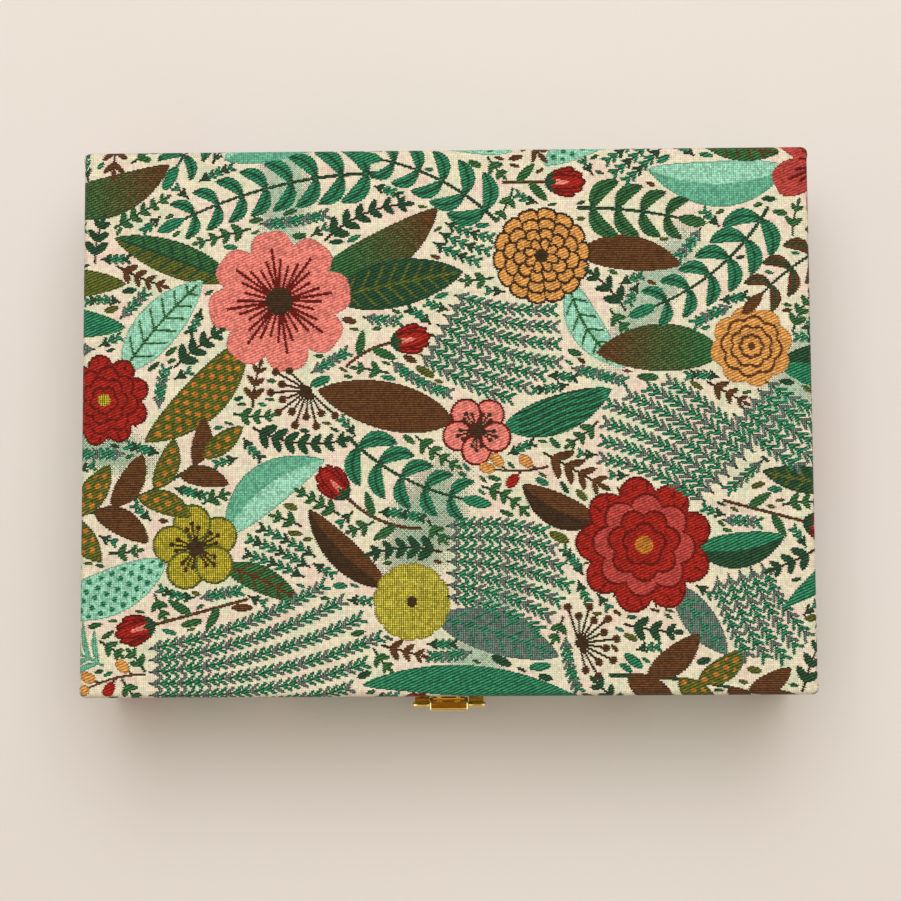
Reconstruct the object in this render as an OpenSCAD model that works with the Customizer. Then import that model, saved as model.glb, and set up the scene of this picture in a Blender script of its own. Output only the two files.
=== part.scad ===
// Brocade keepsake box: a covered tray with a hinged lid, a soft lining and a brass lever clasp.
// X runs along the width, Y from front to back and Z up. The origin is the centre of the underside,
// and the front, with the clasp, faces -Y.

/* [Box] */
// Overall width, cloth to cloth
box_w = 266; // [200:1:340]
// Overall depth, cloth to cloth
box_d = 200; // [150:1:260]
// Overall height with the lid shut
box_h = 70; // [62:1:110]
// Height of the lid
lid_h = 26; // [24:1:32]
// Gap between the two rims when the lid is shut
rim_gap = 0.4; // [0.3:0.05:0.8]

/* [Boards] */
// Thickness of the eight wall boards
wall_t = 5; // [4:0.25:7]
// Thickness of the bottom board
bottom_t = 5; // [4:0.25:7]
// Thickness of the top board of the lid
top_t = 4; // [3:0.25:5]

/* [Cloth cover] */
// Thickness of the woven cloth
cloth_t = 0.8; // [0.5:0.05:1.1]
// Outside radius of the upright corners
corner_r = 2; // [1.6:0.1:3]
// Thickness of the wadding under the cloth of the lid
wadding_t = 1.6; // [1.2:0.1:2.4]
// Depth of the cloth turned in over each rim
turn_in = 11; // [8:0.5:13]
// Width of the cloth turned under the bottom
turn_under = 14; // [10:0.5:20]
// Thickness of the paper that closes the underside
paper_t = 0.6; // [0.5:0.05:1]
// Margin of bare cloth round that paper
paper_margin = 3; // [2:0.5:6]

/* [Lining] */
// Thickness of a lining panel, card and fabric together
lining_t = 2; // [1.5:0.1:3]
// How far the lining panels stop short of the rims
lining_drop = 1.6; // [1:0.1:2.5]
// Thickness of the card in both pads
card_t = 1.5; // [1:0.1:2.5]
// Thickness of the foam in the floor pad
floor_foam_t = 4; // [3:0.25:6]
// Thickness of the foam in the lid pad
lid_foam_t = 3; // [2:0.25:4]
// Thickness of the fabric round both pads
fabric_t = 0.6; // [0.4:0.05:0.9]
// Width of the fabric turned over the back of each pad
fabric_turn = 12; // [8:1:20]
// Play between a pad and the lining panels
pad_gap = 0.4; // [0.2:0.05:0.8]

/* [Hinges] */
// Width of each hinge
hinge_w = 25; // [20:0.5:32]
// Height of one leaf above or below the pin
leaf_h = 15; // [13.5:0.5:17]
// Thickness of the leaf
leaf_t = 0.8; // [0.6:0.05:1]
// Diameter of the hinge pin
hinge_pin_d = 2; // [1.6:0.1:2.4]
// Distance from the sides of the box to the middle of each hinge
hinge_inset = 46; // [30:1:60]
// Angle at which the stop lug holds the lid
open_angle = 105; // [95:1:115]
// Length of the stop lug from the middle of the pin
lug_len = 3.1; // [2.8:0.1:4]
// Diameter of a screw shank
screw_d = 1.8; // [1.4:0.1:2.2]
// Diameter of a screw head
screw_head_d = 3.6; // [3:0.1:4]
// Distance between the two screws of a leaf
screw_pitch = 16; // [15:0.25:16.5]
// How far a screw goes into its board
screw_bite = 3.2; // [2:0.1:3.4]

/* [Clasp] */
// Width of the plate on the tray, across its two knuckles
clasp_w = 26.5; // [24:0.1:32]
// Width of the lever
lever_w = 14.4; // [12:0.1:15.5]
// Thickness of the sheet brass
sheet_t = 0.5; // [0.4:0.02:0.6]
// Distance of the clasp pin from the cloth
pin_out = 3.8; // [3.4:0.1:4.4]
// Distance of the clasp pin below the rims
pin_below = 3.2; // [2.8:0.1:3.8]
// Diameter of the clasp pin
clasp_pin_d = 1; // [0.8:0.05:1.2]
// Distance of the front of the lever from the pin
lever_front = 2.15; // [2:0.05:2.6]
// Radius from the pin to the top of the catch lip
catch_reach = 6.8; // [6.3:0.1:7.5]
// Clear space between the catch lip and the hood of the lever
hook_gap = 0.25; // [0.2:0.05:0.5]
// Length of the finger bill below the pin
bill_len = 4.2; // [3.6:0.1:4.6]
// Radius of the bent edges of the lever
lever_edge = 0.7; // [0.5:0.05:0.8]
// Height of the catch plate above the rims
catch_h = 13; // [11:0.5:15]
// Depth of the tray plate below the rims
plate_h = 13.5; // [12:0.5:16]
// Diameter of a nail shank
nail_d = 0.9; // [0.7:0.05:1.1]
// Diameter of a nail head
nail_head_d = 2; // [1.7:0.1:2.4]
// How far a nail goes into its board
nail_bite = 3; // [2:0.1:3.4]

/* [Fits] */
// Radial play of a turning knuckle on its pin
run_fit = 0.05; // [0.03:0.01:0.1]
// Radial play of a pin, nail or screw that is held
hold_fit = 0.02; // [0.01:0.01:0.05]
// Play between neighbouring knuckles
end_play = 0.2; // [0.15:0.05:0.35]
// Clear space round a knuckle
knuckle_gap = 0.3; // [0.25:0.05:0.5]
// Space left between the stop lug and the leaf at the stop
stop_gap = 0.05; // [0.03:0.01:0.1]

/* [Hidden] */
$fn = 48;

// Points on a quarter turn, and steps on the soft edge of a pad
quarter_steps = 6;
edge_steps = 7;
// Facets of the ball that rounds the lever's edges
ball_facets = 20;
// Overshoot of a cut
over = 1;

// Heights
seam_z = box_h - lid_h;
base_rim = seam_z - rim_gap / 2;
lid_rim = seam_z + rim_gap / 2;
base_board_z = paper_t + cloth_t;
floor_z = base_board_z + bottom_t;
wadding_z = box_h - cloth_t - wadding_t;
ceiling_z = wadding_z - top_t;
base_panel_h = base_rim - lining_drop - floor_z;
lid_panel_h = ceiling_z - lid_rim - lining_drop;

// Plan sizes of the boards, and of the space between them
core_w = box_w - 2 * cloth_t;
core_d = box_d - 2 * cloth_t;
core_r = corner_r - cloth_t;
wadding_flat = 0.1;
wadding_edge = wadding_t - wadding_flat;
inner_w = core_w - 2 * wall_t;
inner_d = core_d - 2 * wall_t;
lined_w = inner_w - 2 * cloth_t;
lined_d = inner_d - 2 * cloth_t;
pad_w = lined_w - 2 * lining_t - 2 * pad_gap;
pad_d = lined_d - 2 * lining_t - 2 * pad_gap;
pad_corner = 2;
pad_edge = 1.5;

// Hinge parts
hinge_pin_r = hinge_pin_d / 2;
knuckle_r = hinge_pin_r + leaf_t;
hinge_out = knuckle_r + knuckle_gap;
knuckle_w = (hinge_w - 2 * end_play) / 3;
leaf_corner = 1.5;
screw_z = (leaf_h + knuckle_r + knuckle_gap) / 2;
screw_head_t = 0.9;
screw_slot = 0.5;
head_taper = 0.7;
pin_head_t = 0.4;
pin_head_lip = 0.3;

// Clasp parts, measured out from the cloth and up from the seam
clasp_pin_r = clasp_pin_d / 2;
clasp_knuckle_r = clasp_pin_r + sheet_t;
pin_z = -pin_below;
plate_flare = 0.65;
plate_bend = 1.5;
side_play = 0.2;
clasp_head_t = 0.3;
clasp_head_lip = 0.2;
ear_wall = 0.85;
ear_r = clasp_pin_r + ear_wall;
clasp_centre = [pin_out, pin_z];
lever_face = pin_out + lever_front;
hood_in = catch_reach + hook_gap;
hood_out = hood_in + sheet_t;
hood_bend = 1;
hood_tip = 1;
tip_slant = 0.3;
tip_t = 2.2 * lever_edge;
tip_turn = asin((pin_out - hood_tip) / hood_out);
bill_flare = 0.35;
bill_round = 2.5;
channel_w = lever_w - 2 * sheet_t;
catch_play = 0.75;
catch_w = channel_w - 2 * catch_play;
catch_bend = 0.8;
catch_shelf = 2.2;
nail_head_t = 0.4;
nail_point_d = nail_d / 4;
nail_edge = 3;
plate_nail_in = 3.4;
catch_nail_in = 2.4;
plate_nail_x = clasp_w / 2 - plate_nail_in;
plate_nail_z = nail_edge - plate_h;
catch_nail_x = catch_w / 2 - catch_nail_in;
catch_nail_z = catch_h - nail_edge;

BROCADE = [0.80, 0.76, 0.66];
BOARD = [0.68, 0.55, 0.39];
FOAM = [0.93, 0.91, 0.84];
CARD = [0.56, 0.54, 0.50];
LINING = [0.55, 0.11, 0.13];
PAPER = [0.15, 0.14, 0.14];
BRASS = [0.86, 0.66, 0.26];

// Plane figures

function arc(centre, r, from, to, steps) = [
    for (i = [0 : steps])
        let (a = from + (to - from) * i / steps)
        centre + r * [cos(a), sin(a)]
];

function rounded(w, d, r) = [
    for (k = [0 : 3])
        let (sx = (k == 0 || k == 3) ? 1 : -1, sy = k < 2 ? 1 : -1)
        each arc([sx * (w / 2 - r), sy * (d / 2 - r)], r, 90 * k, 90 * (k + 1), quarter_steps)
];

function unit(v) = v / norm(v);

function across_path(path, i) =
    let (last = len(path) - 1, d = unit(path[min(i + 1, last)] - path[max(i - 1, 0)]))
    [-d[1], d[0]];

// Outline of a strip of sheet that follows a path, t thick
function strip(path, t) = concat(
    [for (i = [0 : len(path) - 1]) path[i] + across_path(path, i) * t / 2],
    [for (i = [len(path) - 1 : -1 : 0]) path[i] - across_path(path, i) * t / 2]
);

// Solids that repeat

// Draws a Y-Z profile and runs it along X
module along_x(length) {
    rotate([90, 0, 90]) linear_extrude(length, center = true) children();
}

module rod(r, length) {
    rotate([0, 90, 0]) cylinder(r = r, h = length, center = true);
}

// Pin along X with a low head at each end
module headed_pin(r, length, head_t, lip) {
    rod(r, length + 2 * head_t);
    for (sx = [-1, 1])
        translate([sx * (length + head_t) / 2, 0, 0]) rod(r + lip, head_t);
}

module slab(w, d, r, from, to) {
    translate([0, 0, from]) linear_extrude(to - from) polygon(rounded(w, d, r));
}

module block(w, d, from, to) {
    translate([-w / 2, -d / 2, from]) cube([w, d, to - from]);
}

// Block whose top edges are rounded by the radius edge
module soft_block(w, d, r, edge, from, to) {
    sliver = 0.02;
    hull() {
        slab(w, d, r, from, to - edge);
        for (i = [1 : edge_steps]) {
            a = 90 * i / edge_steps;
            inset = edge * (1 - cos(a));
            level = to - edge + edge * sin(a);
            slab(w - 2 * inset, d - 2 * inset, max(r - inset, sliver), level - sliver, level);
        }
    }
}

// Places of the fittings

// At the middle of the front, on the seam, with Y pointing out of the box
module at_clasp() {
    translate([0, -box_d / 2, seam_z]) mirror([0, 1, 0]) children();
}

// At one hinge, on the seam, with Y pointing out of the box
module at_hinge(side) {
    translate([side * (box_w / 2 - hinge_inset), box_d / 2, seam_z]) children();
}

// Two places for screws or nails, one on each side of the middle
module at_pair(x, z) {
    for (sx = [-1, 1])
        translate([sx * x, 0, z]) children();
}

// Hole through the cloth and into the board, from the outside
module fixing_hole(r, bite) {
    translate([0, over, 0]) rotate([90, 0, 0]) cylinder(r = r + hold_fit, h = bite + cloth_t + over);
}

// Hole through sheet that lies on the wall
module sheet_hole(r, t) {
    translate([0, -over, 0]) rotate([-90, 0, 0]) cylinder(r = r + hold_fit, h = t + 2 * over);
}

module hinge_holes(up) {
    for (side = [-1, 1])
        at_hinge(side) at_pair(screw_pitch / 2, up * screw_z) fixing_hole(screw_d / 2, screw_bite);
}

module plate_holes() {
    at_clasp() at_pair(plate_nail_x, plate_nail_z) fixing_hole(nail_d / 2, nail_bite);
}

module catch_holes() {
    at_clasp() at_pair(catch_nail_x, catch_nail_z) fixing_hole(nail_d / 2, nail_bite);
}

// Boards

module wall_front(from, to) {
    intersection() {
        slab(core_w, core_d, core_r, from, to);
        translate([0, -(core_d - wall_t) / 2, 0]) block(core_w, wall_t, from, to);
    }
}

module wall_side(from, to) {
    translate([-(core_w - wall_t) / 2, 0, 0]) block(wall_t, inner_d, from, to);
}

module base_bottom_board() {
    color(BOARD) slab(core_w, core_d, core_r, base_board_z, floor_z);
}

module base_front_board() {
    color(BOARD) difference() {
        wall_front(floor_z, base_rim - cloth_t);
        plate_holes();
    }
}

module base_back_board() {
    color(BOARD) difference() {
        mirror([0, 1, 0]) wall_front(floor_z, base_rim - cloth_t);
        hinge_holes(-1);
    }
}

module base_left_board() {
    color(BOARD) wall_side(floor_z, base_rim - cloth_t);
}

module base_right_board() {
    color(BOARD) mirror([1, 0, 0]) wall_side(floor_z, base_rim - cloth_t);
}

module lid_top_board() {
    color(BOARD) slab(core_w, core_d, core_r, ceiling_z, wadding_z);
}

module lid_front_board() {
    color(BOARD) difference() {
        wall_front(lid_rim + cloth_t, ceiling_z);
        catch_holes();
    }
}

module lid_back_board() {
    color(BOARD) difference() {
        mirror([0, 1, 0]) wall_front(lid_rim + cloth_t, ceiling_z);
        hinge_holes(1);
    }
}

module lid_left_board() {
    color(BOARD) wall_side(lid_rim + cloth_t, ceiling_z);
}

module lid_right_board() {
    color(BOARD) mirror([1, 0, 0]) wall_side(lid_rim + cloth_t, ceiling_z);
}

// Cloth cover

module underside_paper() {
    w = box_w - 2 * paper_margin;
    d = box_d - 2 * paper_margin;
    color(PAPER) slab(w, d, corner_r, 0, paper_t);
}

// Wraps the four walls, turns in over the rim and turns under the bottom board
module base_cloth() {
    color(BROCADE) difference() {
        slab(box_w, box_d, corner_r, paper_t, base_rim);
        difference() {
            slab(core_w, core_d, core_r, base_board_z, base_rim - cloth_t);
            block(inner_w, inner_d, base_rim - turn_in, base_rim);
        }
        block(lined_w, lined_d, floor_z, base_rim + over);
        block(box_w - 2 * turn_under, box_d - 2 * turn_under, paper_t - over, base_board_z + over);
        plate_holes();
        hinge_holes(-1);
    }
}

module lid_wadding() {
    color(FOAM) soft_block(core_w, core_d, core_r, wadding_edge, wadding_z, box_h - cloth_t);
}

// Covers the wadding and the four walls in one piece, and turns in over the rim
module lid_cloth() {
    color(BROCADE) difference() {
        soft_block(box_w, box_d, corner_r, wadding_edge + cloth_t, lid_rim, box_h);
        difference() {
            soft_block(core_w, core_d, core_r, wadding_edge, lid_rim + cloth_t, box_h - cloth_t);
            block(inner_w, inner_d, lid_rim, lid_rim + turn_in);
        }
        block(lined_w, lined_d, lid_rim - over, lid_rim + turn_in + over);
        catch_holes();
        hinge_holes(1);
    }
}

// Lining panels and pads

// Fabric-covered card, standing against a wall, with a rounded top edge
module panel(length, height) {
    half = lining_t / 2;
    round_top = arc([half, height - half], half, 0, 180, 2 * quarter_steps);
    color(LINING) along_x(length) polygon(concat([[0, 0], [lining_t, 0]], round_top));
}

module front_panel(height) {
    translate([0, -lined_d / 2, 0]) panel(lined_w, height);
}

module left_panel(height) {
    translate([-lined_w / 2, 0, 0]) rotate([0, 0, -90]) panel(lined_d - 2 * lining_t, height);
}

module base_lining_front() {
    translate([0, 0, floor_z]) front_panel(base_panel_h);
}

module base_lining_back() {
    mirror([0, 1, 0]) base_lining_front();
}

module base_lining_left() {
    translate([0, 0, floor_z]) left_panel(base_panel_h);
}

module base_lining_right() {
    mirror([1, 0, 0]) base_lining_left();
}

module lid_lining_front() {
    translate([0, 0, ceiling_z]) mirror([0, 0, 1]) front_panel(lid_panel_h);
}

module lid_lining_back() {
    mirror([0, 1, 0]) lid_lining_front();
}

module lid_lining_left() {
    translate([0, 0, ceiling_z]) mirror([0, 0, 1]) left_panel(lid_panel_h);
}

module lid_lining_right() {
    mirror([1, 0, 0]) lid_lining_left();
}

// A pad lies on z = 0 with its soft face up: fabric turned under, card, foam, fabric
module pad_card() {
    color(CARD) slab(pad_w - 2 * fabric_t, pad_d - 2 * fabric_t, pad_corner, fabric_t, fabric_t + card_t);
}

module pad_foam(foam_t) {
    from = fabric_t + card_t;
    w = pad_w - 2 * fabric_t;
    d = pad_d - 2 * fabric_t;
    color(FOAM) soft_block(w, d, pad_corner, pad_edge, from, from + foam_t);
}

module pad_cover(foam_t) {
    top = fabric_t + card_t + foam_t;
    w = pad_w - 2 * fabric_t;
    d = pad_d - 2 * fabric_t;
    color(LINING) difference() {
        soft_block(pad_w, pad_d, pad_corner + fabric_t, pad_edge + fabric_t, 0, top + fabric_t);
        soft_block(w, d, pad_corner, pad_edge, fabric_t, top);
        block(pad_w - 2 * fabric_turn, pad_d - 2 * fabric_turn, -over, fabric_t + over);
    }
}

module on_floor() {
    translate([0, 0, floor_z]) children();
}

module on_ceiling() {
    translate([0, 0, ceiling_z]) mirror([0, 0, 1]) children();
}

module floor_pad_card() {
    on_floor() pad_card();
}

module floor_pad_foam() {
    on_floor() pad_foam(floor_foam_t);
}

module floor_pad_cover() {
    on_floor() pad_cover(floor_foam_t);
}

module lid_pad_card() {
    on_ceiling() pad_card();
}

module lid_pad_foam() {
    on_ceiling() pad_foam(lid_foam_t);
}

module lid_pad_cover() {
    on_ceiling() pad_cover(lid_foam_t);
}

// Hinges: the leaves lie on the back, and the pin runs behind the seam

// Leaf that rises from the pin, with its knuckles at the places in xs
module leaf(xs) {
    low = knuckle_r + knuckle_gap;
    r = leaf_corner;
    x = hinge_w / 2;
    right = arc([x - r, leaf_h - r], r, 0, 90, quarter_steps);
    left = arc([r - x, leaf_h - r], r, 90, 180, quarter_steps);
    color(BRASS) difference() {
        union() {
            translate([0, leaf_t, 0]) rotate([90, 0, 0]) linear_extrude(leaf_t)
                polygon(concat([[-x, low], [x, low]], right, left));
            for (kx = xs) {
                translate([kx - knuckle_w / 2, 0, 0]) cube([knuckle_w, leaf_t, low + over]);
                translate([kx, hinge_out, 0]) rod(knuckle_r, knuckle_w);
            }
            children();
        }
        at_pair(screw_pitch / 2, screw_z) sheet_hole(screw_d / 2, leaf_t);
    }
}

module base_leaf(side) {
    outer = knuckle_w + end_play;
    color(BRASS) at_hinge(side) difference() {
        mirror([0, 0, 1]) leaf([-outer, outer]);
        translate([0, hinge_out, 0]) rod(hinge_pin_r + hold_fit, hinge_w + over);
    }
}

// The lug comes round onto the tray's leaf when the lid has turned through the open angle
module lid_leaf(side) {
    face = hinge_out - leaf_t - stop_gap;
    root = hinge_pin_r + leaf_t / 2;
    color(BRASS) at_hinge(side) difference() {
        leaf([0]) translate([0, hinge_out, 0]) rotate([open_angle - 90, 0, 0])
            translate([-knuckle_w / 2, root, -face]) cube([knuckle_w, lug_len - root, leaf_t]);
        translate([0, hinge_out, 0]) rod(hinge_pin_r + run_fit, hinge_w + over);
    }
}

module hinge_pin(side) {
    color(BRASS) at_hinge(side) translate([0, hinge_out, 0])
        headed_pin(hinge_pin_r, hinge_w, pin_head_t, pin_head_lip);
}

module left_hinge_base_leaf() {
    base_leaf(-1);
}

module left_hinge_lid_leaf() {
    lid_leaf(-1);
}

module left_hinge_pin() {
    hinge_pin(-1);
}

module right_hinge_base_leaf() {
    base_leaf(1);
}

module right_hinge_lid_leaf() {
    lid_leaf(1);
}

module right_hinge_pin() {
    hinge_pin(1);
}

// Slotted screw with its head against y = 0, pointing into the box
module screw() {
    difference() {
        rotate([-90, 0, 0]) {
            cylinder(d = screw_head_d, h = screw_head_t / 2);
            translate([0, 0, screw_head_t / 2])
                cylinder(d1 = screw_head_d, d2 = screw_head_d * head_taper, h = screw_head_t / 2);
        }
        translate([-screw_head_d, screw_head_t / 2, -screw_slot / 2])
            cube([2 * screw_head_d, screw_head_t, screw_slot]);
    }
    rotate([90, 0, 0]) cylinder(d = screw_d, h = leaf_t + cloth_t + screw_bite);
}

module hinge_screws(up) {
    color(BRASS) for (side = [-1, 1])
        at_hinge(side) at_pair(screw_pitch / 2, up * screw_z) translate([0, leaf_t, 0]) screw();
}

module hinge_base_screws() {
    hinge_screws(-1);
}

module hinge_lid_screws() {
    hinge_screws(1);
}

// Clasp: a plate with two knuckles on the tray, a lever on its pin, and a catch on the lid

// The sheet leaves the wall below the pin and rolls round it at both ends
module clasp_plate() {
    shelf = pin_z - clasp_pin_r - sheet_t / 2;
    back = sheet_t / 2;
    bend = arc([back + plate_bend, shelf - plate_bend], plate_bend, 180, 90, quarter_steps);
    path = concat([[back, -plate_h]], bend, [[pin_out, shelf]]);
    reach = pin_out + clasp_knuckle_r;
    flare = [
        [plate_flare - clasp_w / 2, 0], [-clasp_w / 2, reach],
        [clasp_w / 2, reach], [clasp_w / 2 - plate_flare, 0]
    ];
    color(BRASS) at_clasp() difference() {
        intersection() {
            union() {
                along_x(clasp_w) polygon(strip(path, sheet_t));
                translate([0, pin_out, pin_z]) rod(clasp_knuckle_r, clasp_w);
            }
            translate([0, 0, -plate_h - over]) linear_extrude(plate_h + 2 * over) polygon(flare);
        }
        block(lever_w + 2 * side_play, 4 * reach, shelf - plate_bend - over, over);
        translate([0, pin_out, pin_z]) rod(clasp_pin_r + hold_fit, clasp_w + over);
        at_pair(plate_nail_x, plate_nail_z) sheet_hole(nail_d / 2, sheet_t);
    }
}

module clasp_pin() {
    color(BRASS) at_clasp() translate([0, pin_out, pin_z])
        headed_pin(clasp_pin_r, clasp_w, clasp_head_t, clasp_head_lip);
}

// The hood of the lever is an arc about the pin, so it slides over the catch lip and never touches it
function hood_arc(r, bend, face) =
    let (
        run = face - bend - pin_out,
        rise = sqrt(pow(r - bend, 2) - run * run),
        turn = atan2(run, rise)
    )
    concat(
        arc(clasp_centre, r, 90 + tip_turn, 90 - turn, quarter_steps),
        arc(clasp_centre + [run, rise], bend, 90 - turn, 0, quarter_steps)
    );

// The front runs straight down past the pin and then flares out, so that a finger can lift it
function lever_front_edge(face) =
    let (
        drop = bill_len - ear_r,
        flare_turn = 2 * atan(bill_flare / drop),
        r = drop / sin(flare_turn)
    )
    arc([face + r, pin_z - ear_r], r, 180, 180 + flare_turn, quarter_steps);

module lever_bill() {
    w = lever_w - 2 * lever_edge;
    middle = lever_face - sheet_t / 2;
    intersection() {
        along_x(w) polygon(strip(concat([[middle, pin_z]], lever_front_edge(middle)), sheet_t));
        translate([0, 2 * lever_face, pin_z + w / 2 - bill_len]) rotate([90, 0, 0])
            linear_extrude(2 * lever_face) polygon(rounded(w, w, bill_round));
    }
}

module clasp_lever() {
    tip_low = pin_z + hood_out * cos(tip_turn) - tip_t;
    outline = concat(
        hood_arc(hood_out, hood_bend, lever_face),
        [[lever_face, pin_z - ear_r]],
        arc(clasp_centre, ear_r, 270, 180, quarter_steps),
        [[hood_tip + tip_slant, tip_low]]
    );
    hollow = concat(
        hood_arc(hood_in, hood_bend - sheet_t, lever_face - sheet_t),
        [[lever_face - sheet_t, pin_z - bill_len], [-over, pin_z - bill_len], [-over, catch_reach]]
    );
    color(BRASS) at_clasp() difference() {
        union() {
            difference() {
                minkowski() {
                    along_x(lever_w - 2 * lever_edge) offset(delta = -lever_edge) polygon(outline);
                    sphere(r = lever_edge, $fn = ball_facets);
                }
                along_x(channel_w) polygon(hollow);
            }
            lever_bill();
        }
        translate([0, pin_out, pin_z]) rod(clasp_pin_r + run_fit, lever_w + over);
    }
}

// Shelf turned out of the lid's plate, with its edge turned up under the hood
module clasp_catch() {
    back = sheet_t / 2;
    lip_top = pin_z + catch_reach - back;
    inner = arc([back + catch_bend, catch_shelf + catch_bend], catch_bend, 180, 270, quarter_steps);
    outer = arc([pin_out - catch_bend, catch_shelf + catch_bend], catch_bend, 270, 360, quarter_steps);
    path = concat([[back, catch_h]], inner, outer, [[pin_out, lip_top]]);
    color(BRASS) at_clasp() difference() {
        union() {
            along_x(catch_w) polygon(strip(path, sheet_t));
            translate([0, pin_out, lip_top]) rod(back, catch_w);
        }
        at_pair(catch_nail_x, catch_nail_z) sheet_hole(nail_d / 2, sheet_t);
    }
}

// Flat-headed nail with its head against y = 0, pointing into the box
module nail() {
    rotate([-90, 0, 0]) cylinder(d1 = nail_head_d, d2 = nail_head_d * head_taper, h = nail_head_t);
    rotate([90, 0, 0]) cylinder(d = nail_d, h = sheet_t + cloth_t + nail_bite - nail_d);
    translate([0, nail_d - sheet_t - cloth_t - nail_bite, 0])
        rotate([90, 0, 0]) cylinder(d1 = nail_d, d2 = nail_point_d, h = nail_d);
}

module clasp_plate_nails() {
    color(BRASS) at_clasp() at_pair(plate_nail_x, plate_nail_z) translate([0, sheet_t, 0]) nail();
}

module clasp_catch_nails() {
    color(BRASS) at_clasp() at_pair(catch_nail_x, catch_nail_z) translate([0, sheet_t, 0]) nail();
}

underside_paper();
base_bottom_board();
base_front_board();
base_back_board();
base_left_board();
base_right_board();
base_cloth();
base_lining_front();
base_lining_back();
base_lining_left();
base_lining_right();
floor_pad_card();
floor_pad_foam();
floor_pad_cover();
lid_top_board();
lid_front_board();
lid_back_board();
lid_left_board();
lid_right_board();
lid_wadding();
lid_cloth();
lid_lining_front();
lid_lining_back();
lid_lining_left();
lid_lining_right();
lid_pad_card();
lid_pad_foam();
lid_pad_cover();
left_hinge_base_leaf();
left_hinge_lid_leaf();
left_hinge_pin();
right_hinge_base_leaf();
right_hinge_lid_leaf();
right_hinge_pin();
hinge_base_screws();
hinge_lid_screws();
clasp_plate();
clasp_pin();
clasp_lever();
clasp_catch();
clasp_plate_nails();
clasp_catch_nails();
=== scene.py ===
"""Looks of a brocade keepsake box: woven cover, velvet lining, boards and plated brass fittings."""
import math

import bmesh
import bpy
import numpy as np
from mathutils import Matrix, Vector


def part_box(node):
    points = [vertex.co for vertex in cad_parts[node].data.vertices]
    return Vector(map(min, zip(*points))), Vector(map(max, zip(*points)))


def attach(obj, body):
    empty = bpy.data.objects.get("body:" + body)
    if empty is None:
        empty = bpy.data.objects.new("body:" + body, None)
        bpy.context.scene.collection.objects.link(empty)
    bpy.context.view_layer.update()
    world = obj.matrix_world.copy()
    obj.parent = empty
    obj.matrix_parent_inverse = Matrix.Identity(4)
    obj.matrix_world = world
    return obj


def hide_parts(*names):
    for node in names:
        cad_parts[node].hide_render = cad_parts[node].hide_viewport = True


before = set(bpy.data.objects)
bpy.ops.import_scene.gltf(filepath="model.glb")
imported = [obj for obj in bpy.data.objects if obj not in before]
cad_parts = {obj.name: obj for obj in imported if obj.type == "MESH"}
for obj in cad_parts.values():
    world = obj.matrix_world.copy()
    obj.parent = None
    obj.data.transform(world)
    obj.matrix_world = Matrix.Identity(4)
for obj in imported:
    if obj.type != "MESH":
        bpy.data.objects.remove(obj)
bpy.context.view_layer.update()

MM = 0.001

# The cloth: size of a stitch, and stitches in one repeat of the pattern
STITCH_W, STITCH_H = 0.4, 0.4
REPEAT_COLS, REPEAT_ROWS = 900, 720
REPEAT_W, REPEAT_H = REPEAT_COLS * STITCH_W, REPEAT_ROWS * STITCH_H
# Stitches held by one face of the cloth's mesh, across and up
CELL_COLS, CELL_ROWS = 4, 4
CELL = CELL_COLS * STITCH_W

# Threads: colour of the face, how strongly the dark binding shows between the floats (the same strength scales the
# shade painted in the grooves between ribs and yarns), and how it runs:
# in fine lines that climb to the right, in a square grid, or between the ribs alone
THREADS = {
    "ground": ((0.935, 0.905, 0.815), 0.0, "climbing"),
    "mint": ((0.650, 0.900, 0.775), 0.60, "grid"),
    "aqua": ((0.450, 0.760, 0.620), 0.70, "grid"),
    "emerald": ((0.235, 0.600, 0.425), 1.20, "climbing"),
    "green": ((0.262, 0.480, 0.265), 1.20, "climbing"),
    "pine": ((0.190, 0.340, 0.208), 1.15, "climbing"),
    "moss": ((0.420, 0.445, 0.170), 1.00, "climbing"),
    "heather": ((0.480, 0.560, 0.510), 1.15, "grid"),
    "crimson": ((0.720, 0.170, 0.125), 0.85, "climbing"),
    "maroon": ((0.440, 0.100, 0.065), 0.85, "ribs"),
    "coral": ((0.990, 0.560, 0.505), 0.62, "climbing"),
    "rose": ((0.800, 0.305, 0.275), 0.75, "climbing"),
    "orange": ((0.970, 0.685, 0.370), 0.80, "climbing"),
    "ochre": ((0.850, 0.530, 0.200), 0.80, "climbing"),
    "olive": ((0.900, 0.825, 0.265), 1.45, "grid"),
    "lime": ((0.930, 0.880, 0.340), 1.35, "grid"),
    "brown": ((0.440, 0.276, 0.140), 1.30, "ribs"),
    "bark": ((0.275, 0.185, 0.085), 1.10, "ribs"),
}
# What a stitch's number for its binding holds: the strength, moved to a range of its own for each kind
BINDING = {"climbing": lambda strength: strength, "grid": lambda strength: strength + 2,
           "ribs": lambda strength: -strength}
# How dark the outermost stitches of a motif are against the ground
EDGE_TONE = 0.55
# How far the floats of every second row reach past their neighbours at a motif's edge
TEETH = 0.17
NUMBER = {name: i for i, name in enumerate(THREADS)}

# Order in which the stitches of a four by four block change from one thread to another
MIX_ORDER = np.array([[0, 8, 2, 10], [12, 4, 14, 6], [3, 11, 1, 9], [15, 7, 13, 5]]) / 16 + 1 / 32
def grain(x, y):
    """Share of the colour above which a stitch takes it, in the order in which a weaver mixes two threads."""
    c = np.floor(x / STITCH_W).astype(int)
    r = np.floor(y / STITCH_H).astype(int)
    return MIX_ORDER[r % 4, c % 4]


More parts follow.
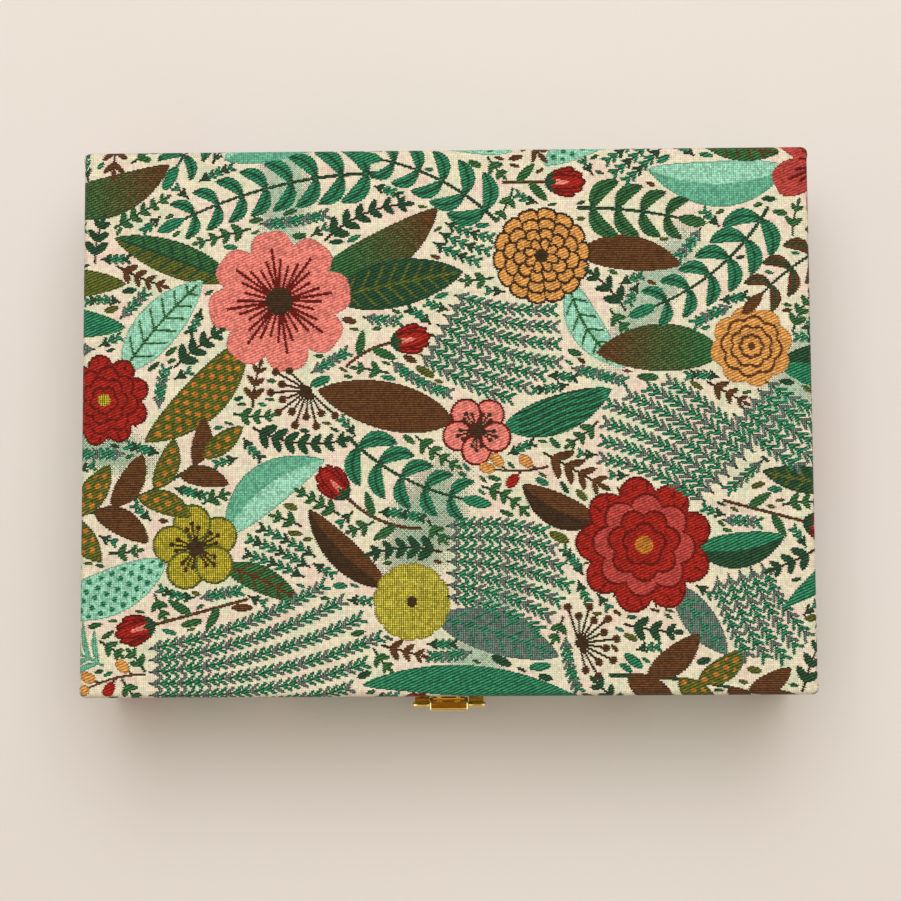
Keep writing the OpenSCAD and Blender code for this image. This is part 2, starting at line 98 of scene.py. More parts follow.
class Plant:
    """A motif before it is set into the cloth: patches of stitches, each with its thread."""

    def __init__(self):
        self.patches = []

    def patch(self, x0, y0, x1, y1, shape, thread):
        cols = np.arange(math.floor(x0 / STITCH_W), math.ceil(x1 / STITCH_W) + 1)
        rows = np.arange(math.floor(y0 / STITCH_H), math.ceil(y1 / STITCH_H) + 1)
        x, y = np.meshgrid((cols + 0.5) * STITCH_W, (rows + 0.5) * STITCH_H)
        teeth = np.where(rows % 2, TEETH, -TEETH)[:, None]
        place = np.ix_(rows % REPEAT_ROWS, cols % REPEAT_COLS)
        self.patches.append((place, shape(x + teeth, y), NUMBER[thread]))

    def disc(self, x, y, r, thread, squash=1.0):
        def shape(u, v):
            return (u - x) ** 2 + ((v - y) / squash) ** 2 < r * r

        self.patch(x - r, y - r * squash, x + r, y + r * squash, shape, thread)

    def stroke(self, points, width, thread, taper=1.0):
        """A line of stitches through the points, width mm at its start and taper times that at its end."""
        last = len(points) - 1
        for i in range(last):
            (xa, ya), (xb, yb) = points[i][:2], points[i + 1][:2]
            r = 0.5 * width * (1 + (taper - 1) * (i + 0.5) / last)
            dx, dy = xb - xa, yb - ya
            size = dx * dx + dy * dy + 1e-9

            def shape(u, v, xa=xa, ya=ya, dx=dx, dy=dy, size=size, r=r):
                t = np.clip(((u - xa) * dx + (v - ya) * dy) / size, 0, 1)
                return (u - xa - t * dx) ** 2 + ((v - ya - t * dy)) ** 2 < r * r

            box = min(xa, xb) - r, min(ya, yb) - r, max(xa, xb) + r, max(ya, yb) + r
            self.patch(*box, shape, thread)

    def leaf(self, x, y, angle, length, width, thread, bend=0.0, belly=0.45, sharp=1.5, veins=None,
             pitch=5.0, slope=0.7, vein_w=1.1, rib=1.0, half=None, spots=None, fade=None, streaks=None, rim=None):
        """A leaf or petal with its foot at (x, y)."""
        c, s = math.cos(angle), math.sin(angle)

        def place(u, v):
            t = ((u - x) * c + (v - y) * s) / length
            n = (v - y) * c - (u - x) * s - bend * length * 4 * t * (1 - t)
            return t, n

        def reach(t):
            t = np.clip(t, 1e-3, 1 - 1e-3)
            swell = (t / belly) ** (belly * sharp) * ((1 - t) / (1 - belly)) ** ((1 - belly) * sharp)
            return 0.5 * width * swell

        def inside(t, n, share=1.0):
            return (t > 0) & (t < 1) & (np.abs(n) < reach(t) * share)

        bulge = abs(bend) * length + width / 2
        tip = x + c * length, y + s * length
        box = (min(x, tip[0]) - bulge * abs(s) - 1, min(y, tip[1]) - bulge * abs(c) - 1,
               max(x, tip[0]) + bulge * abs(s) + 1, max(y, tip[1]) + bulge * abs(c) + 1)

        def draw(test, name):
            def shape(u, v):
                t, n = place(u, v)
                return inside(t, n) & test(t, n, u, v)

            self.patch(*box, shape, name)

        draw(lambda t, n, u, v: t > -1, thread)
        if half:
            draw(lambda t, n, u, v: n > 0, half)
        if fade:
            draw(lambda t, n, u, v: grain(u, v) < np.clip(1.25 * t - 0.2, 0, 1), fade)
        if streaks:
            draw(lambda t, n, u, v: (np.sin(n * 2.6 + 3 * np.sin(t * 9)) > 0.35) & (t > 0.12) & (t < 0.9), streaks)
        if rim:
            draw(lambda t, n, u, v: np.abs(n) > reach(t) - 1.0, rim)
        if spots:
            def dots(t, n, u, v):
                a = t * length
                row = np.floor(n / 3.0 + 0.5)
                a = a + np.where(row % 2 == 0, 0, 2.2)
                return (((a % 4.4) - 2.2) ** 2 + (n - row * 3.0) ** 2 < 1.1) & (np.abs(n) < reach(t) - 1.2)

            draw(dots, spots)
        if veins:
            def ribs(t, n, u, v):
                side = ((t * length - np.abs(n) * slope) % pitch < vein_w) & (np.abs(n) < reach(t) * 0.82)
                side &= (t > 0.07) & (t < 0.93)
                return side | ((np.abs(n) < 0.5 * rib) & (t < 0.95))

            draw(ribs, veins)
        return tip


def arc(x, y, angle, length, turn, steps=14):
    """Points and headings on a stem that leaves (x, y) at an angle and turns evenly."""
    points = []
    for i in range(steps + 1):
        a = angle + turn * i / steps
        points.append((x, y, a))
        step = length / steps
        x += step * math.cos(a + turn / steps / 2)
        y += step * math.sin(a + turn / steps / 2)
    return points


def at_share(path, share):
    """Point and heading at a share of a stem's length."""
    k = share * (len(path) - 1)
    i = min(int(k), len(path) - 2)
    f = k - i
    return tuple(a + (b - a) * f for a, b in zip(path[i], path[i + 1]))


# Flowers

def scallop(p, x, y, radius, petals, turn, depth, fill, edge, edge_w=0.9, power=0.8):
    """One ring of round petals."""
    def outline(u, v):
        a = np.arctan2(v - y, u - x) - turn
        return radius * (1 - depth + depth * np.abs(np.cos(petals * a / 2)) ** power)

    def whole(u, v):
        return np.hypot(u - x, v - y) < outline(u, v)

    def rim(u, v):
        r = np.hypot(u - x, v - y)
        return (r < outline(u, v)) & (r > outline(u, v) - edge_w)

    p.patch(x - radius, y - radius, x + radius, y + radius, whole, fill)
    if edge:
        p.patch(x - radius, y - radius, x + radius, y + radius, rim, edge)


def peony(x, y, radius, turn=0.0, fill="crimson", light="rose", edge="maroon", heart="ochre"):
    """Full flower of four rings of round petals, each ring turned half a petal."""
    p = Plant()
    for ring, (share, petals) in enumerate(((1.0, 9), (0.76, 8), (0.54, 7), (0.33, 5))):
        colour = light if ring == 1 else fill
        scallop(p, x, y, radius * share, petals, turn + ring * 0.41, 0.2, colour, edge, 1.0)
    count = 26
    for k in range(count):
        a = turn + 2 * math.pi * k / count
        low, high = (0.8, 0.91) if k % 2 else (0.8, 0.87)
        p.stroke([(x + radius * low * math.cos(a), y + radius * low * math.sin(a)),
                  (x + radius * high * math.cos(a), y + radius * high * math.sin(a))], 0.8, edge)
    p.disc(x, y, radius * 0.13, heart)
    return p


def blossom(x, y, radius, petals=8, turn=0.0, fill="coral", edge=None, streak="maroon", heart="bark",
            eye=None, width=0.62):
    """Open flower of separate petals with streaks from the heart."""
    p = Plant()
    for k in range(petals):
        a = turn + 2 * math.pi * k / petals
        foot = x + 0.08 * radius * math.cos(a), y + 0.08 * radius * math.sin(a)
        p.leaf(*foot, a, radius * 0.92, radius * width, fill, belly=0.62, sharp=0.75, rim=edge)
    for k in range(petals):
        a = turn + 2 * math.pi * k / petals
        for side, far in ((0, 0.74), (-0.13, 0.58), (0.13, 0.58)):
            b = a + side
            p.stroke([(x + 0.2 * radius * math.cos(b), y + 0.2 * radius * math.sin(b)),
                      (x + far * radius * math.cos(a + side * 1.3), y + far * radius * math.sin(a + side * 1.3))],
                     1.3, streak, 0.7)
        b = a + math.pi / petals
        p.stroke([(x + 0.15 * radius * math.cos(b), y + 0.15 * radius * math.sin(b)),
                  (x + 0.5 * radius * math.cos(b), y + 0.5 * radius * math.sin(b))], 1.0, streak)
    p.disc(x, y, radius * 0.2, heart)
    if eye:
        p.disc(x, y, radius * 0.1, eye)
    return p


def dahlia(x, y, radius, turn=0.0, fill="orange", edge="bark", petals=14, rings=4, heart="bark"):
    """Round head of pointed petals in rings, like scales."""
    p = Plant()
    for ring in range(rings):
        share = 1 - ring * 0.82 / rings
        count = max(6, petals - 2 * ring)
        for k in range(count):
            a = turn + 2 * math.pi * (k + 0.5 * (ring % 2)) / count
            inner = radius * max(share - 0.42, 0.02)
            length = radius * share - inner
            width = 2 * math.pi * radius * (share - 0.13) / count
            foot = x + inner * math.cos(a), y + inner * math.sin(a)
            p.leaf(*foot, a, length, width * 1.12, edge, belly=0.6, sharp=0.8)
            p.leaf(*foot, a, length - 0.9, width * 1.12 - 1.5, fill, belly=0.6, sharp=0.8)
    p.disc(x, y, radius * 0.14, heart)
    return p


def plum(x, y, radius, turn=0.0, fill="olive", edge="moss", heart="bark"):
    """Five round petals, a dark heart and a ring of stamens."""
    p = Plant()
    for k in range(5):
        a = turn + 2 * math.pi * k / 5
        cx, cy = x + 0.56 * radius * math.cos(a), y + 0.56 * radius * math.sin(a)
        p.disc(cx, cy, radius * 0.44, edge)
        p.disc(cx, cy, radius * 0.44 - 0.9, fill)
    for k in range(5):
        a = turn + 2 * math.pi * k / 5
        for side in (-0.28, 0, 0.28):
            far = 0.56 if side == 0 else 0.46
            ex, ey = x + far * radius * math.cos(a + side), y + far * radius * math.sin(a + side)
            p.stroke([(x, y), (ex, ey)], 0.8, heart)
            p.disc(ex, ey, 0.9, heart)
    p.disc(x, y, radius * 0.16, heart)
    return p


def rosette(x, y, radius, turn=0.0, fill="olive", line="bark", petals=7):
    """Rosette of scalloped rings inside each other."""
    p = Plant()
    share = 1.0
    ring = 0
    while share * radius > 2.2:
        scallop(p, x, y, radius * share, petals, turn + ring * 0.45, 0.13, fill, line if ring else None, 1.1, 1.0)
        share -= 3.4 / radius
        ring += 1
    p.disc(x, y, 1.5, line)
    return p


def lotus(p, x, y, angle, size, fill="crimson", edge="maroon", light="coral", foot="pine"):
    """Closed bud of overlapping petals on the end of a stem."""
    for side, share in ((-0.42, 0.8), (0.42, 0.8), (-0.2, 0.94), (0.2, 0.94)):
        p.leaf(x, y, angle + side, size * share, size * 0.36, edge, belly=0.45, sharp=1.0)
        p.leaf(x, y, angle + side, size * share - 1.0, size * 0.36 - 1.5, fill, belly=0.45, sharp=1.0)
    p.leaf(x, y, angle, size, size * 0.4, edge, belly=0.45, sharp=1.0)
    p.leaf(x, y, angle, size - 1.0, size * 0.4 - 1.5, fill, belly=0.45, sharp=1.0)
    p.leaf(x, y, angle, size * 0.6, size * 0.12, light, belly=0.5, sharp=1.2)
    for side in (-0.9, 0.9, 0):
        p.leaf(x, y, angle + side, size * 0.3, size * 0.14, foot, belly=0.4, sharp=1.2)


# Foliage

def sprig(x, y, angle, length, turn, leaf_len=9.0, leaf_w=3.6, gap=6.0, spread=0.75, thread="green",
          stem="pine", stem_w=1.0, tip=True, shrink=0.6, alternate=False, sharp=1.3, other=None, belly=0.5):
    """Stem with leaves in pairs."""
    p = Plant()
    path = arc(x, y, angle, length, turn)
    p.stroke(path, stem_w, stem, 0.8)
    count = max(2, int(length / gap))
    for k in range(count):
        share = (k + 0.6) / count
        for side in (-1, 1):
            at = min(share + (0.5 / count if alternate and side > 0 else 0), 0.98)
            px, py, heading = at_share(path, at)
            scale = 1 - (1 - shrink) * at
            colour = other if other and k % 2 else thread
            p.leaf(px, py, heading + side * spread, leaf_len * scale, leaf_w * scale, colour,
                   bend=-side * 0.05, belly=belly, sharp=sharp)
    if tip:
        px, py, heading = path[-1]
        p.leaf(px, py, heading, leaf_len * shrink, leaf_w * shrink, thread, belly=0.5, sharp=sharp)
    return p


def ear(x, y, angle, length, turn, bract=3.6, gap=2.4, thread="emerald", other="heather", stem="pine", spread=0.6):
    """Close ear of short bracts, like wheat or heather."""
    p = Plant()
    path = arc(x, y, angle, length, turn)
    p.stroke(path, 0.9, stem)
    count = int(length / gap)
    for k in range(count):
        px, py, heading = at_share(path, (k + 0.5) / count)
        for side in (-1, 1):
            a = heading + side * spread
            end = px + bract * math.cos(a), py + bract * math.sin(a)
            p.stroke([(px, py), end], 1.4, other if (k % 3 == 0) else thread, 0.8)
    return p


def berries(x, y, angle, length, turn, gap=7.0, size=2.0, stalk=4.5, thread="crimson", stem="brown", leaves=None,
            other=None):
    """Twig with round berries on short stalks."""
    p = Plant()
    path = arc(x, y, angle, length, turn)
    p.stroke(path, 1.0, stem, 0.8)
    count = max(2, int(length / gap))
    for k in range(count):
        px, py, heading = at_share(path, (k + 0.7) / (count + 0.4))
        side = 1 if k % 2 else -1
        a = heading + side * 0.8
        end = px + stalk * math.cos(a), py + stalk * math.sin(a)
        p.stroke([(px, py), end], 0.9, stem)
        p.leaf(end[0] - size * math.cos(a), end[1] - size * math.sin(a), a, size * 2.9, size * 2.0,
               other if other and k % 2 else thread, belly=0.5, sharp=0.7)
        if leaves:
            p.leaf(px, py, heading - side * 0.7, stalk * 1.7, stalk * 0.6, leaves, belly=0.45, sharp=1.3)
    px, py, heading = path[-1]
    p.leaf(px, py, heading, size * 2.9, size * 2.0, thread, belly=0.5, sharp=0.7)
    return p


def fern(x, y, angle, length, turn, pinna=12.0, gap=3.4, thread="mint", stem="aqua", spread=0.95):
    """Frond with narrow side leaves that shorten to the tip."""
    p = Plant()
    path = arc(x, y, angle, length, turn)
    p.stroke(path, 1.0, stem)
    count = int(length / gap)
    for k in range(count):
        share = (k + 0.5) / count
        px, py, heading = at_share(path, share)
        size = pinna * math.sin(math.pi * min(1.0, 0.22 + 0.78 * share)) ** 0.8 + 1.2
        for side in (-1, 1):
            p.leaf(px, py, heading + side * spread, size, 2.1, thread, bend=-side * 0.06, belly=0.4, sharp=1.1)
    return p


def seed_head(x, y, angle, radius, rays=11, spread=3.6, thread="bark", bead="brown", bead_r=1.5):
    """Dry flower head: fine rays with a bead on each."""
    p = Plant()
    for k in range(rays):
        a = angle + spread * (k / (rays - 1) - 0.5)
        far = radius * (1.0 if k % 2 else 0.72)
        end = x + far * math.cos(a), y + far * math.sin(a)
        p.stroke([(x, y), end], 0.9, thread)
        p.disc(*end, bead_r, bead)
        p.disc(*end, bead_r * 0.45, thread)
    p.disc(x, y, 1.6, thread)
    return p


def branch(x, y, angle, length, turn, leaf=26, wide=11, gap=15, first=0, second=3):
    """Stem with large leaves of two kinds in turn."""
    p = Plant()
    path = arc(x, y, angle, length, turn)
    p.stroke(path, 1.6, "pine", 0.7)
    pairs = max(2, int(length / gap))
    for k in range(pairs):
        for side, offset in ((-1, 0.35), (1, 0.75)):
            share = (k + offset) / pairs
            if share > 0.97:
                continue
            px, py, heading = at_share(path, share)
            thread, style = LEAF_STYLES[first if (k + side) % 2 else second]
            size = 1 - 0.35 * share
            p.leaf(px, py, heading + side * 0.75, leaf * size, wide * size, thread, bend=-0.07 * side,
                   belly=0.46, sharp=1.4, **style)
    thread, style = LEAF_STYLES[first]
    p.leaf(*path[-1], leaf * 0.7, wide * 0.7, thread, belly=0.46, sharp=1.4, **style)
    return p


def crown(x, y, angle, length, turn, leaf=15, wide=6.2, gap=9.0, thread="green"):
    """Stem with pointed leaves in pairs, with clear ground between them."""
    p = Plant()
    path = arc(x, y, angle, length, turn)
    p.stroke(path, 1.4, "pine", 0.7)
    pairs = max(2, int(length / gap))
    for k in range(pairs):
        share = (k + 0.5) / pairs
        px, py, heading = at_share(path, share)
        size = 1 - 0.35 * share
        for side in (-1, 1):
            p.leaf(px, py, heading + side * 0.80, leaf * size, wide * size, thread, bend=0.16 * side,
                   belly=0.48, sharp=1.2, veins="pine", pitch=99, rib=0.9)
    p.leaf(*path[-1], leaf * 0.7, wide * 0.7, thread, belly=0.5, sharp=1.2)
    return p


def sheaf(x, y, angle, length, turn, count=4, apart=4.2, bract=3.5, thread="emerald", other="heather"):
    """Several ears side by side."""
    p = Plant()
    for k in range(count):
        f = k - (count - 1) / 2
        foot = x - apart * f * math.sin(angle), y + apart * f * math.cos(angle)
        p.patches += ear(*foot, angle + f * 0.05, length * (1 - 0.07 * abs(f)), turn, bract, 2.9, thread, other).patches
    return p


def blades(x, y, angle, length, turn, count=4, width=5.5, thread="brown", other="green"):
    """Fan of narrow blades from one foot."""
    p = Plant()
    for k in range(count):
        f = k - (count - 1) / 2
        p.leaf(x, y, angle + f * 0.3, length * (1 - 0.12 * abs(f)), width, other if k % 2 else thread,
               bend=0.08 * (f + turn), belly=0.5, sharp=1.4)
    return p


def bud_stem(x, y, angle, length, turn):
    """Bud on its stem, with two small leaves."""
    p = Plant()
    path = arc(x, y, angle, length - 15, turn)
    p.stroke(path, 1.2, "brown")
    lotus(p, *path[-1], 15)
    for share, side in ((0.3, 0.8), (0.6, -0.8)):
        px, py, heading = at_share(path, share)
        p.leaf(px, py, heading + side, 10, 3.4, "green")
    return p


# How a large leaf is drawn: its thread, and what is woven into it
LEAF_STYLES = [
    ("mint", {"veins": "green", "pitch": 6.0, "slope": 0.8}),
    ("green", {"veins": "brown", "pitch": 5.0, "slope": 0.9}),
    ("heather", {"veins": "emerald", "pitch": 5.5, "slope": 0.8}),
    ("emerald", {"half": "pine"}),
    ("pine", {"veins": "moss", "pitch": 5.0}),
    ("emerald", {"streaks": "pine"}),
    ("mint", {"spots": "emerald"}),
    ("brown", {"half": "bark"}),
    ("green", {"fade": "brown"}),
    ("moss", {"spots": "ochre"}),
    ("brown", {}),
    ("mint", {"half": "aqua"}),
    ("pine", {"half": "emerald"}),
    ("green", {"half": "moss", "veins": "pine", "pitch": 5.5}),
]

# Flowers of one repeat: drawing, place, radius and colours
FLOWERS = [
    (peony, 252, 98, 25, {"turn": 0.3}),
    (blossom, 120, 188, 26, {"turn": 0.15}),
    (dahlia, 216, 204, 18, {"turn": 0.1}),
    (plum, 90, 98, 16, {"turn": 0.5}),
    (dahlia, 168, 78, 14, {"turn": 0.4, "fill": "lime", "edge": "olive", "petals": 12, "rings": 3}),
    (rosette, 292, 170, 15, {"turn": 0.2, "fill": "orange", "line": "brown", "petals": 8}),
    (peony, 56, 152, 17, {"turn": 1.0, "light": "crimson", "heart": "olive"}),
    (plum, 192, 140, 13, {"turn": 0.9, "fill": "coral", "edge": "maroon"}),
    (blossom, 322, 238, 22, {"petals": 6, "turn": 0.4, "fill": "rose"}),
    (dahlia, 20, 226, 17, {"turn": 0.2, "fill": "olive", "petals": 12, "rings": 3}),
    (peony, 340, 118, 19, {"turn": 0.7, "fill": "orange", "light": "ochre", "edge": "bark", "heart": "maroon"}),
    (blossom, 20, 34, 21, {"petals": 7, "turn": 0.9}),
    (plum, 156, 262, 14, {"turn": 0.2, "fill": "lime"}),
    (rosette, 262, 14, 16, {"turn": 0.6, "petals": 9}),
    (peony, 74, 274, 20, {"turn": 0.2}),
    (dahlia, 118, 14, 15, {"turn": 0.2, "petals": 12, "rings": 3}),
    (rosette, 262, 262, 12, {"turn": 0.3, "fill": "lime", "line": "moss", "petals": 7}),
]
class Draft:
    """The whole repeat: the thread of every stitch, and the stitches that motifs have taken."""

    def __init__(self):
        self.thread = np.zeros((REPEAT_ROWS, REPEAT_COLS), np.int16)
        self.taken = np.zeros((REPEAT_ROWS, REPEAT_COLS), bool)

    def weave(self, plant):
        for (rows, cols), mask, number in plant.patches:
            self.thread[rows, cols] = np.where(mask, number, self.thread[rows, cols])
            for up, along in ((0, 0), (1, 0), (-1, 0), (0, 2), (0, -2), (1, 1), (1, -1), (-1, 1), (-1, -1)):
                self.taken[(rows + up) % REPEAT_ROWS, (cols + along) % REPEAT_COLS] |= mask

    def overlap(self, plant):
        """Share of a plant's stitches that are taken already."""
        area = sum(mask.sum() for _, mask, _ in plant.patches)
        return sum((self.taken[place] & mask).sum() for place, mask, _ in plant.patches) / max(area, 1)

    def glow(self, x, y, angle, length, width, thread, strength=0.60):
        """Pale shade between the plants: a thread mixed into the ground, ever thinner outwards."""
        cols = np.arange(math.floor((x - length) / STITCH_W), math.ceil((x + length) / STITCH_W) + 1)
        rows = np.arange(math.floor((y - length) / STITCH_H), math.ceil((y + length) / STITCH_H) + 1)
        u, v = np.meshgrid((cols + 0.5) * STITCH_W, (rows + 0.5) * STITCH_H)
        along = ((u - x) * math.cos(angle) + (v - y) * math.sin(angle)) / (length / 2)
        across = ((v - y) * math.cos(angle) - (u - x) * math.sin(angle)) / (width / 2)
        shade = strength * np.clip(1.25 - along ** 2 - across ** 2, 0, 1)
        place = np.ix_(rows % REPEAT_ROWS, cols % REPEAT_COLS)
        mask = (grain(u, v) < shade) & (self.thread[place] == 0)
        self.thread[place] = np.where(mask, NUMBER[thread], self.thread[place])


class Gap:
    """Finds how far a stem can run from a point before it meets another plant."""

    HEADINGS, TURNS, STEP = 24, (-0.9, -0.45, 0.0, 0.45, 0.9), 1.6

    def __init__(self, draft, half, longest):
        self.draft = draft
        steps = int(longest / self.STEP)
        along = np.arange(1, steps + 1) / steps
        heading, turn = np.meshgrid(2 * np.pi * np.arange(self.HEADINGS) / self.HEADINGS, self.TURNS)
        self.heading, self.turn = heading.ravel(), turn.ravel()
        a = self.heading[:, None] + self.turn[:, None] * along
        x, y = np.cumsum(np.cos(a), 1) * self.STEP, np.cumsum(np.sin(a), 1) * self.STEP
        across = np.linspace(-half, half, max(3, int(half)))
        self.x = x[:, :, None] - np.sin(a)[:, :, None] * across
        self.y = y[:, :, None] + np.cos(a)[:, :, None] * across

    def run(self, x, y, drift):
        """Heading, turn and length of the best run, where one along the drift counts for more."""
        cols = np.floor((x + self.x) / STITCH_W).astype(int) % REPEAT_COLS
        rows = np.floor((y + self.y) / STITCH_H).astype(int) % REPEAT_ROWS
        blocked = self.draft.taken[rows, cols].mean(2) > 0.15
        steps = np.where(blocked.any(1), blocked.argmax(1), blocked.shape[1])
        worth = steps * (0.25 + 0.75 * np.abs(np.cos(self.heading + self.turn / 2 - drift)))
        best = int(worth.argmax())
        length = steps[best] * self.STEP
        return self.heading[best], self.turn[best] * steps[best] / blocked.shape[1], length


def drift_at(x, y):
    """Direction in which the plants grow at a place; it swings in long curves over the repeat."""
    swing = 0.34 * math.sin(2 * math.pi * x / REPEAT_W + 0.9) + 0.26 * math.sin(2 * math.pi * y / REPEAT_H + 2.4)
    return 0.10 + swing


def draw_pattern(seed=11):
    """Sets the flowers, then lets stems of ever smaller plants fill the gaps between them."""
    draft = Draft()
    rnd = np.random.RandomState(seed)
    style = 2
    for _, x, y, radius, _ in FLOWERS:
        count = 3 if radius < 20 else 4
        for k in range(count):
            # They leave the flower to the left and the right rather than up and down
            a = drift_at(x, y) + math.pi * (k % 2) + rnd.uniform(-0.75, 0.75)
            thread, how = LEAF_STYLES[style % len(LEAF_STYLES)]
            style += 5
            length = rnd.uniform(30, 52)
            p = Plant()
            p.leaf(x + 0.75 * radius * math.cos(a), y + 0.75 * radius * math.sin(a), a + rnd.uniform(-0.3, 0.3),
                   length, length * rnd.uniform(0.28, 0.42), thread, bend=rnd.uniform(-0.12, 0.12), belly=0.46,
                   sharp=1.45, **how)
            if draft.overlap(p) < 0.20:
                draft.weave(p)
    for flower, x, y, radius, how in FLOWERS:
        draft.weave(flower(x, y, radius, **how))

    def any_style():
        return {"first": rnd.randint(len(LEAF_STYLES)), "second": rnd.randint(len(LEAF_STYLES))}

    # Drawing, half width, shortest and longest stem, starts tried, most plants
    fillings = [
        (lambda *at: blades(*at, count=2, width=12, thread="emerald", other="moss"), 10, 56, 96, 160, 3),
        (lambda *at: sheaf(*at, count=7), 14, 40, 100, 300, 5),
        (lambda *at: branch(*at, **any_style()), 14, 52, 90, 120, 3),
        (lambda *at: crown(*at, thread=("green", "emerald", "brown")[rnd.randint(3)]), 9, 36, 76, 260, 9),
        (lambda *at: fern(*at, pinna=14, thread=("mint", "aqua")[rnd.randint(2)]), 9, 34, 60, 160, 5),
        (lambda *at: sheaf(*at, count=5), 9, 34, 84, 300, 12),
        (lambda *at: seed_head(*at[:3], at[3] * 0.5, 12, 3.2), 10, 26, 44, 400, 9),
        (bud_stem, 4.5, 30, 50, 400, 18),
        (lambda *at: branch(*at, leaf=17, wide=7, gap=10, **any_style()), 8, 28, 60, 300, 12),
        (lambda *at: blades(*at), 6, 26, 44, 300, 12),
        (lambda *at: sprig(*at, 9, 3.4, 5.0, thread="brown", stem="bark"), 5, 22, 60, 300, 14),
        (lambda *at: berries(*at, gap=6.5, leaves="green"), 5, 24, 46, 300, 14),
        (lambda *at: sheaf(*at, count=3, bract=2.8, other="pine"), 7, 18, 60, 500, 24),
        (lambda *at: sprig(*at, 10, 4.4, 6.6, thread="green", other="emerald"), 5.5, 20, 54, 400, 26),
        (lambda *at: berries(*at, gap=6.0, stalk=4, thread="orange", other="crimson"), 4.5, 18, 40, 300, 10),
        (lambda *at: sprig(*at, 7, 3.4, 4.8, thread="pine", stem="bark"), 3.8, 14, 40, 700, 60),
        (lambda *at: sprig(*at, 6, 2.6, 4.0, thread="brown", stem="bark"), 3.2, 12, 40, 400, 30),
        (lambda *at: ear(*at, 3.0, 2.4, stem="bark"), 2.4, 12, 40, 700, 60),
        (lambda *at: sprig(*at, 5.2, 2.6, 4.0, thread="green"), 2.5, 8, 30, 2000, 200),
        (lambda *at: ear(*at, 2.4, 2.2, "emerald", "pine", "bark"), 1.5, 6, 24, 2600, 300),
    ]
    for drawing, half, shortest, longest, starts, most in fillings:
        gap = Gap(draft, half, longest)
        made = 0
        for _ in range(starts):
            x, y = rnd.uniform(0, REPEAT_W), rnd.uniform(0, REPEAT_H)
            if draft.taken[int(y / STITCH_H) % REPEAT_ROWS, int(x / STITCH_W) % REPEAT_COLS]:
                continue
            heading, turn, length = gap.run(x, y, drift_at(x, y))
            if length < shortest or made >= most:
                continue
            p = drawing(x, y, heading, length, turn)
            if draft.overlap(p) < 0.06:
                draft.weave(p)
                made += 1
    for size, tries in ((12, 2000), (8, 4000), (5.5, 8000), (3.6, 12000)):
        for _ in range(tries):
            x, y = rnd.uniform(0, REPEAT_W), rnd.uniform(0, REPEAT_H)
            a = drift_at(x, y) + rnd.uniform(-0.5, 0.5)
            thread = ("green", "pine", "brown", "emerald", "moss", "green")[rnd.randint(6)]
            ends = [(x + size * f * math.cos(a), y + size * f * math.sin(a)) for f in (0, 0.5, 1)]
            if any(draft.taken[int(v / STITCH_H) % REPEAT_ROWS, int(u / STITCH_W) % REPEAT_COLS] for u, v in ends):
                continue
            p = Plant()
            p.leaf(x, y, a, size, size * rnd.uniform(0.34, 0.5), thread, belly=0.5, sharp=1.1)
            if draft.overlap(p) < 0.12:
                draft.weave(p)
    for _ in range(9):
        draft.glow(rnd.uniform(0, REPEAT_W), rnd.uniform(0, REPEAT_H), rnd.uniform(0, math.pi),
                   rnd.uniform(50, 90), rnd.uniform(18, 30), ("mint", "mint", "aqua")[rnd.randint(3)])
    return draft.thread
# Materials

class Field:
    """A socket of a material. Arithmetic on it adds Math nodes."""

    def __init__(self, finish, socket):
        self.finish, self.socket = finish, socket

    def maths(self, operation, *values):
        return self.finish.node("ShaderNodeMath", {"operation": operation}, values)

    def __add__(self, other):
        return self.maths("ADD", self, other)

    def __sub__(self, other):
        return self.maths("SUBTRACT", self, other)

    def __rsub__(self, other):
        return self.maths("SUBTRACT", other, self)

    def __mul__(self, other):
        return self.maths("MULTIPLY", self, other)

    def __truediv__(self, other):
        return self.maths("DIVIDE", self, other)

    def __pow__(self, other):
        return self.maths("POWER", self, other)

    def __gt__(self, other):
        return self.maths("GREATER_THAN", self, other)

    __radd__, __rmul__ = __add__, __mul__

    def part(self):
        return self.maths("FRACT", self)

    def whole(self):
        return self.maths("FLOOR", self)

    def sine(self):
        return self.maths("SINE", self)

    def least(self, other):
        return self.maths("MINIMUM", self, other)

    def limited(self, low=0.0, high=1.0):
        return self.finish.node("ShaderNodeClamp", {}, (self, low, high))


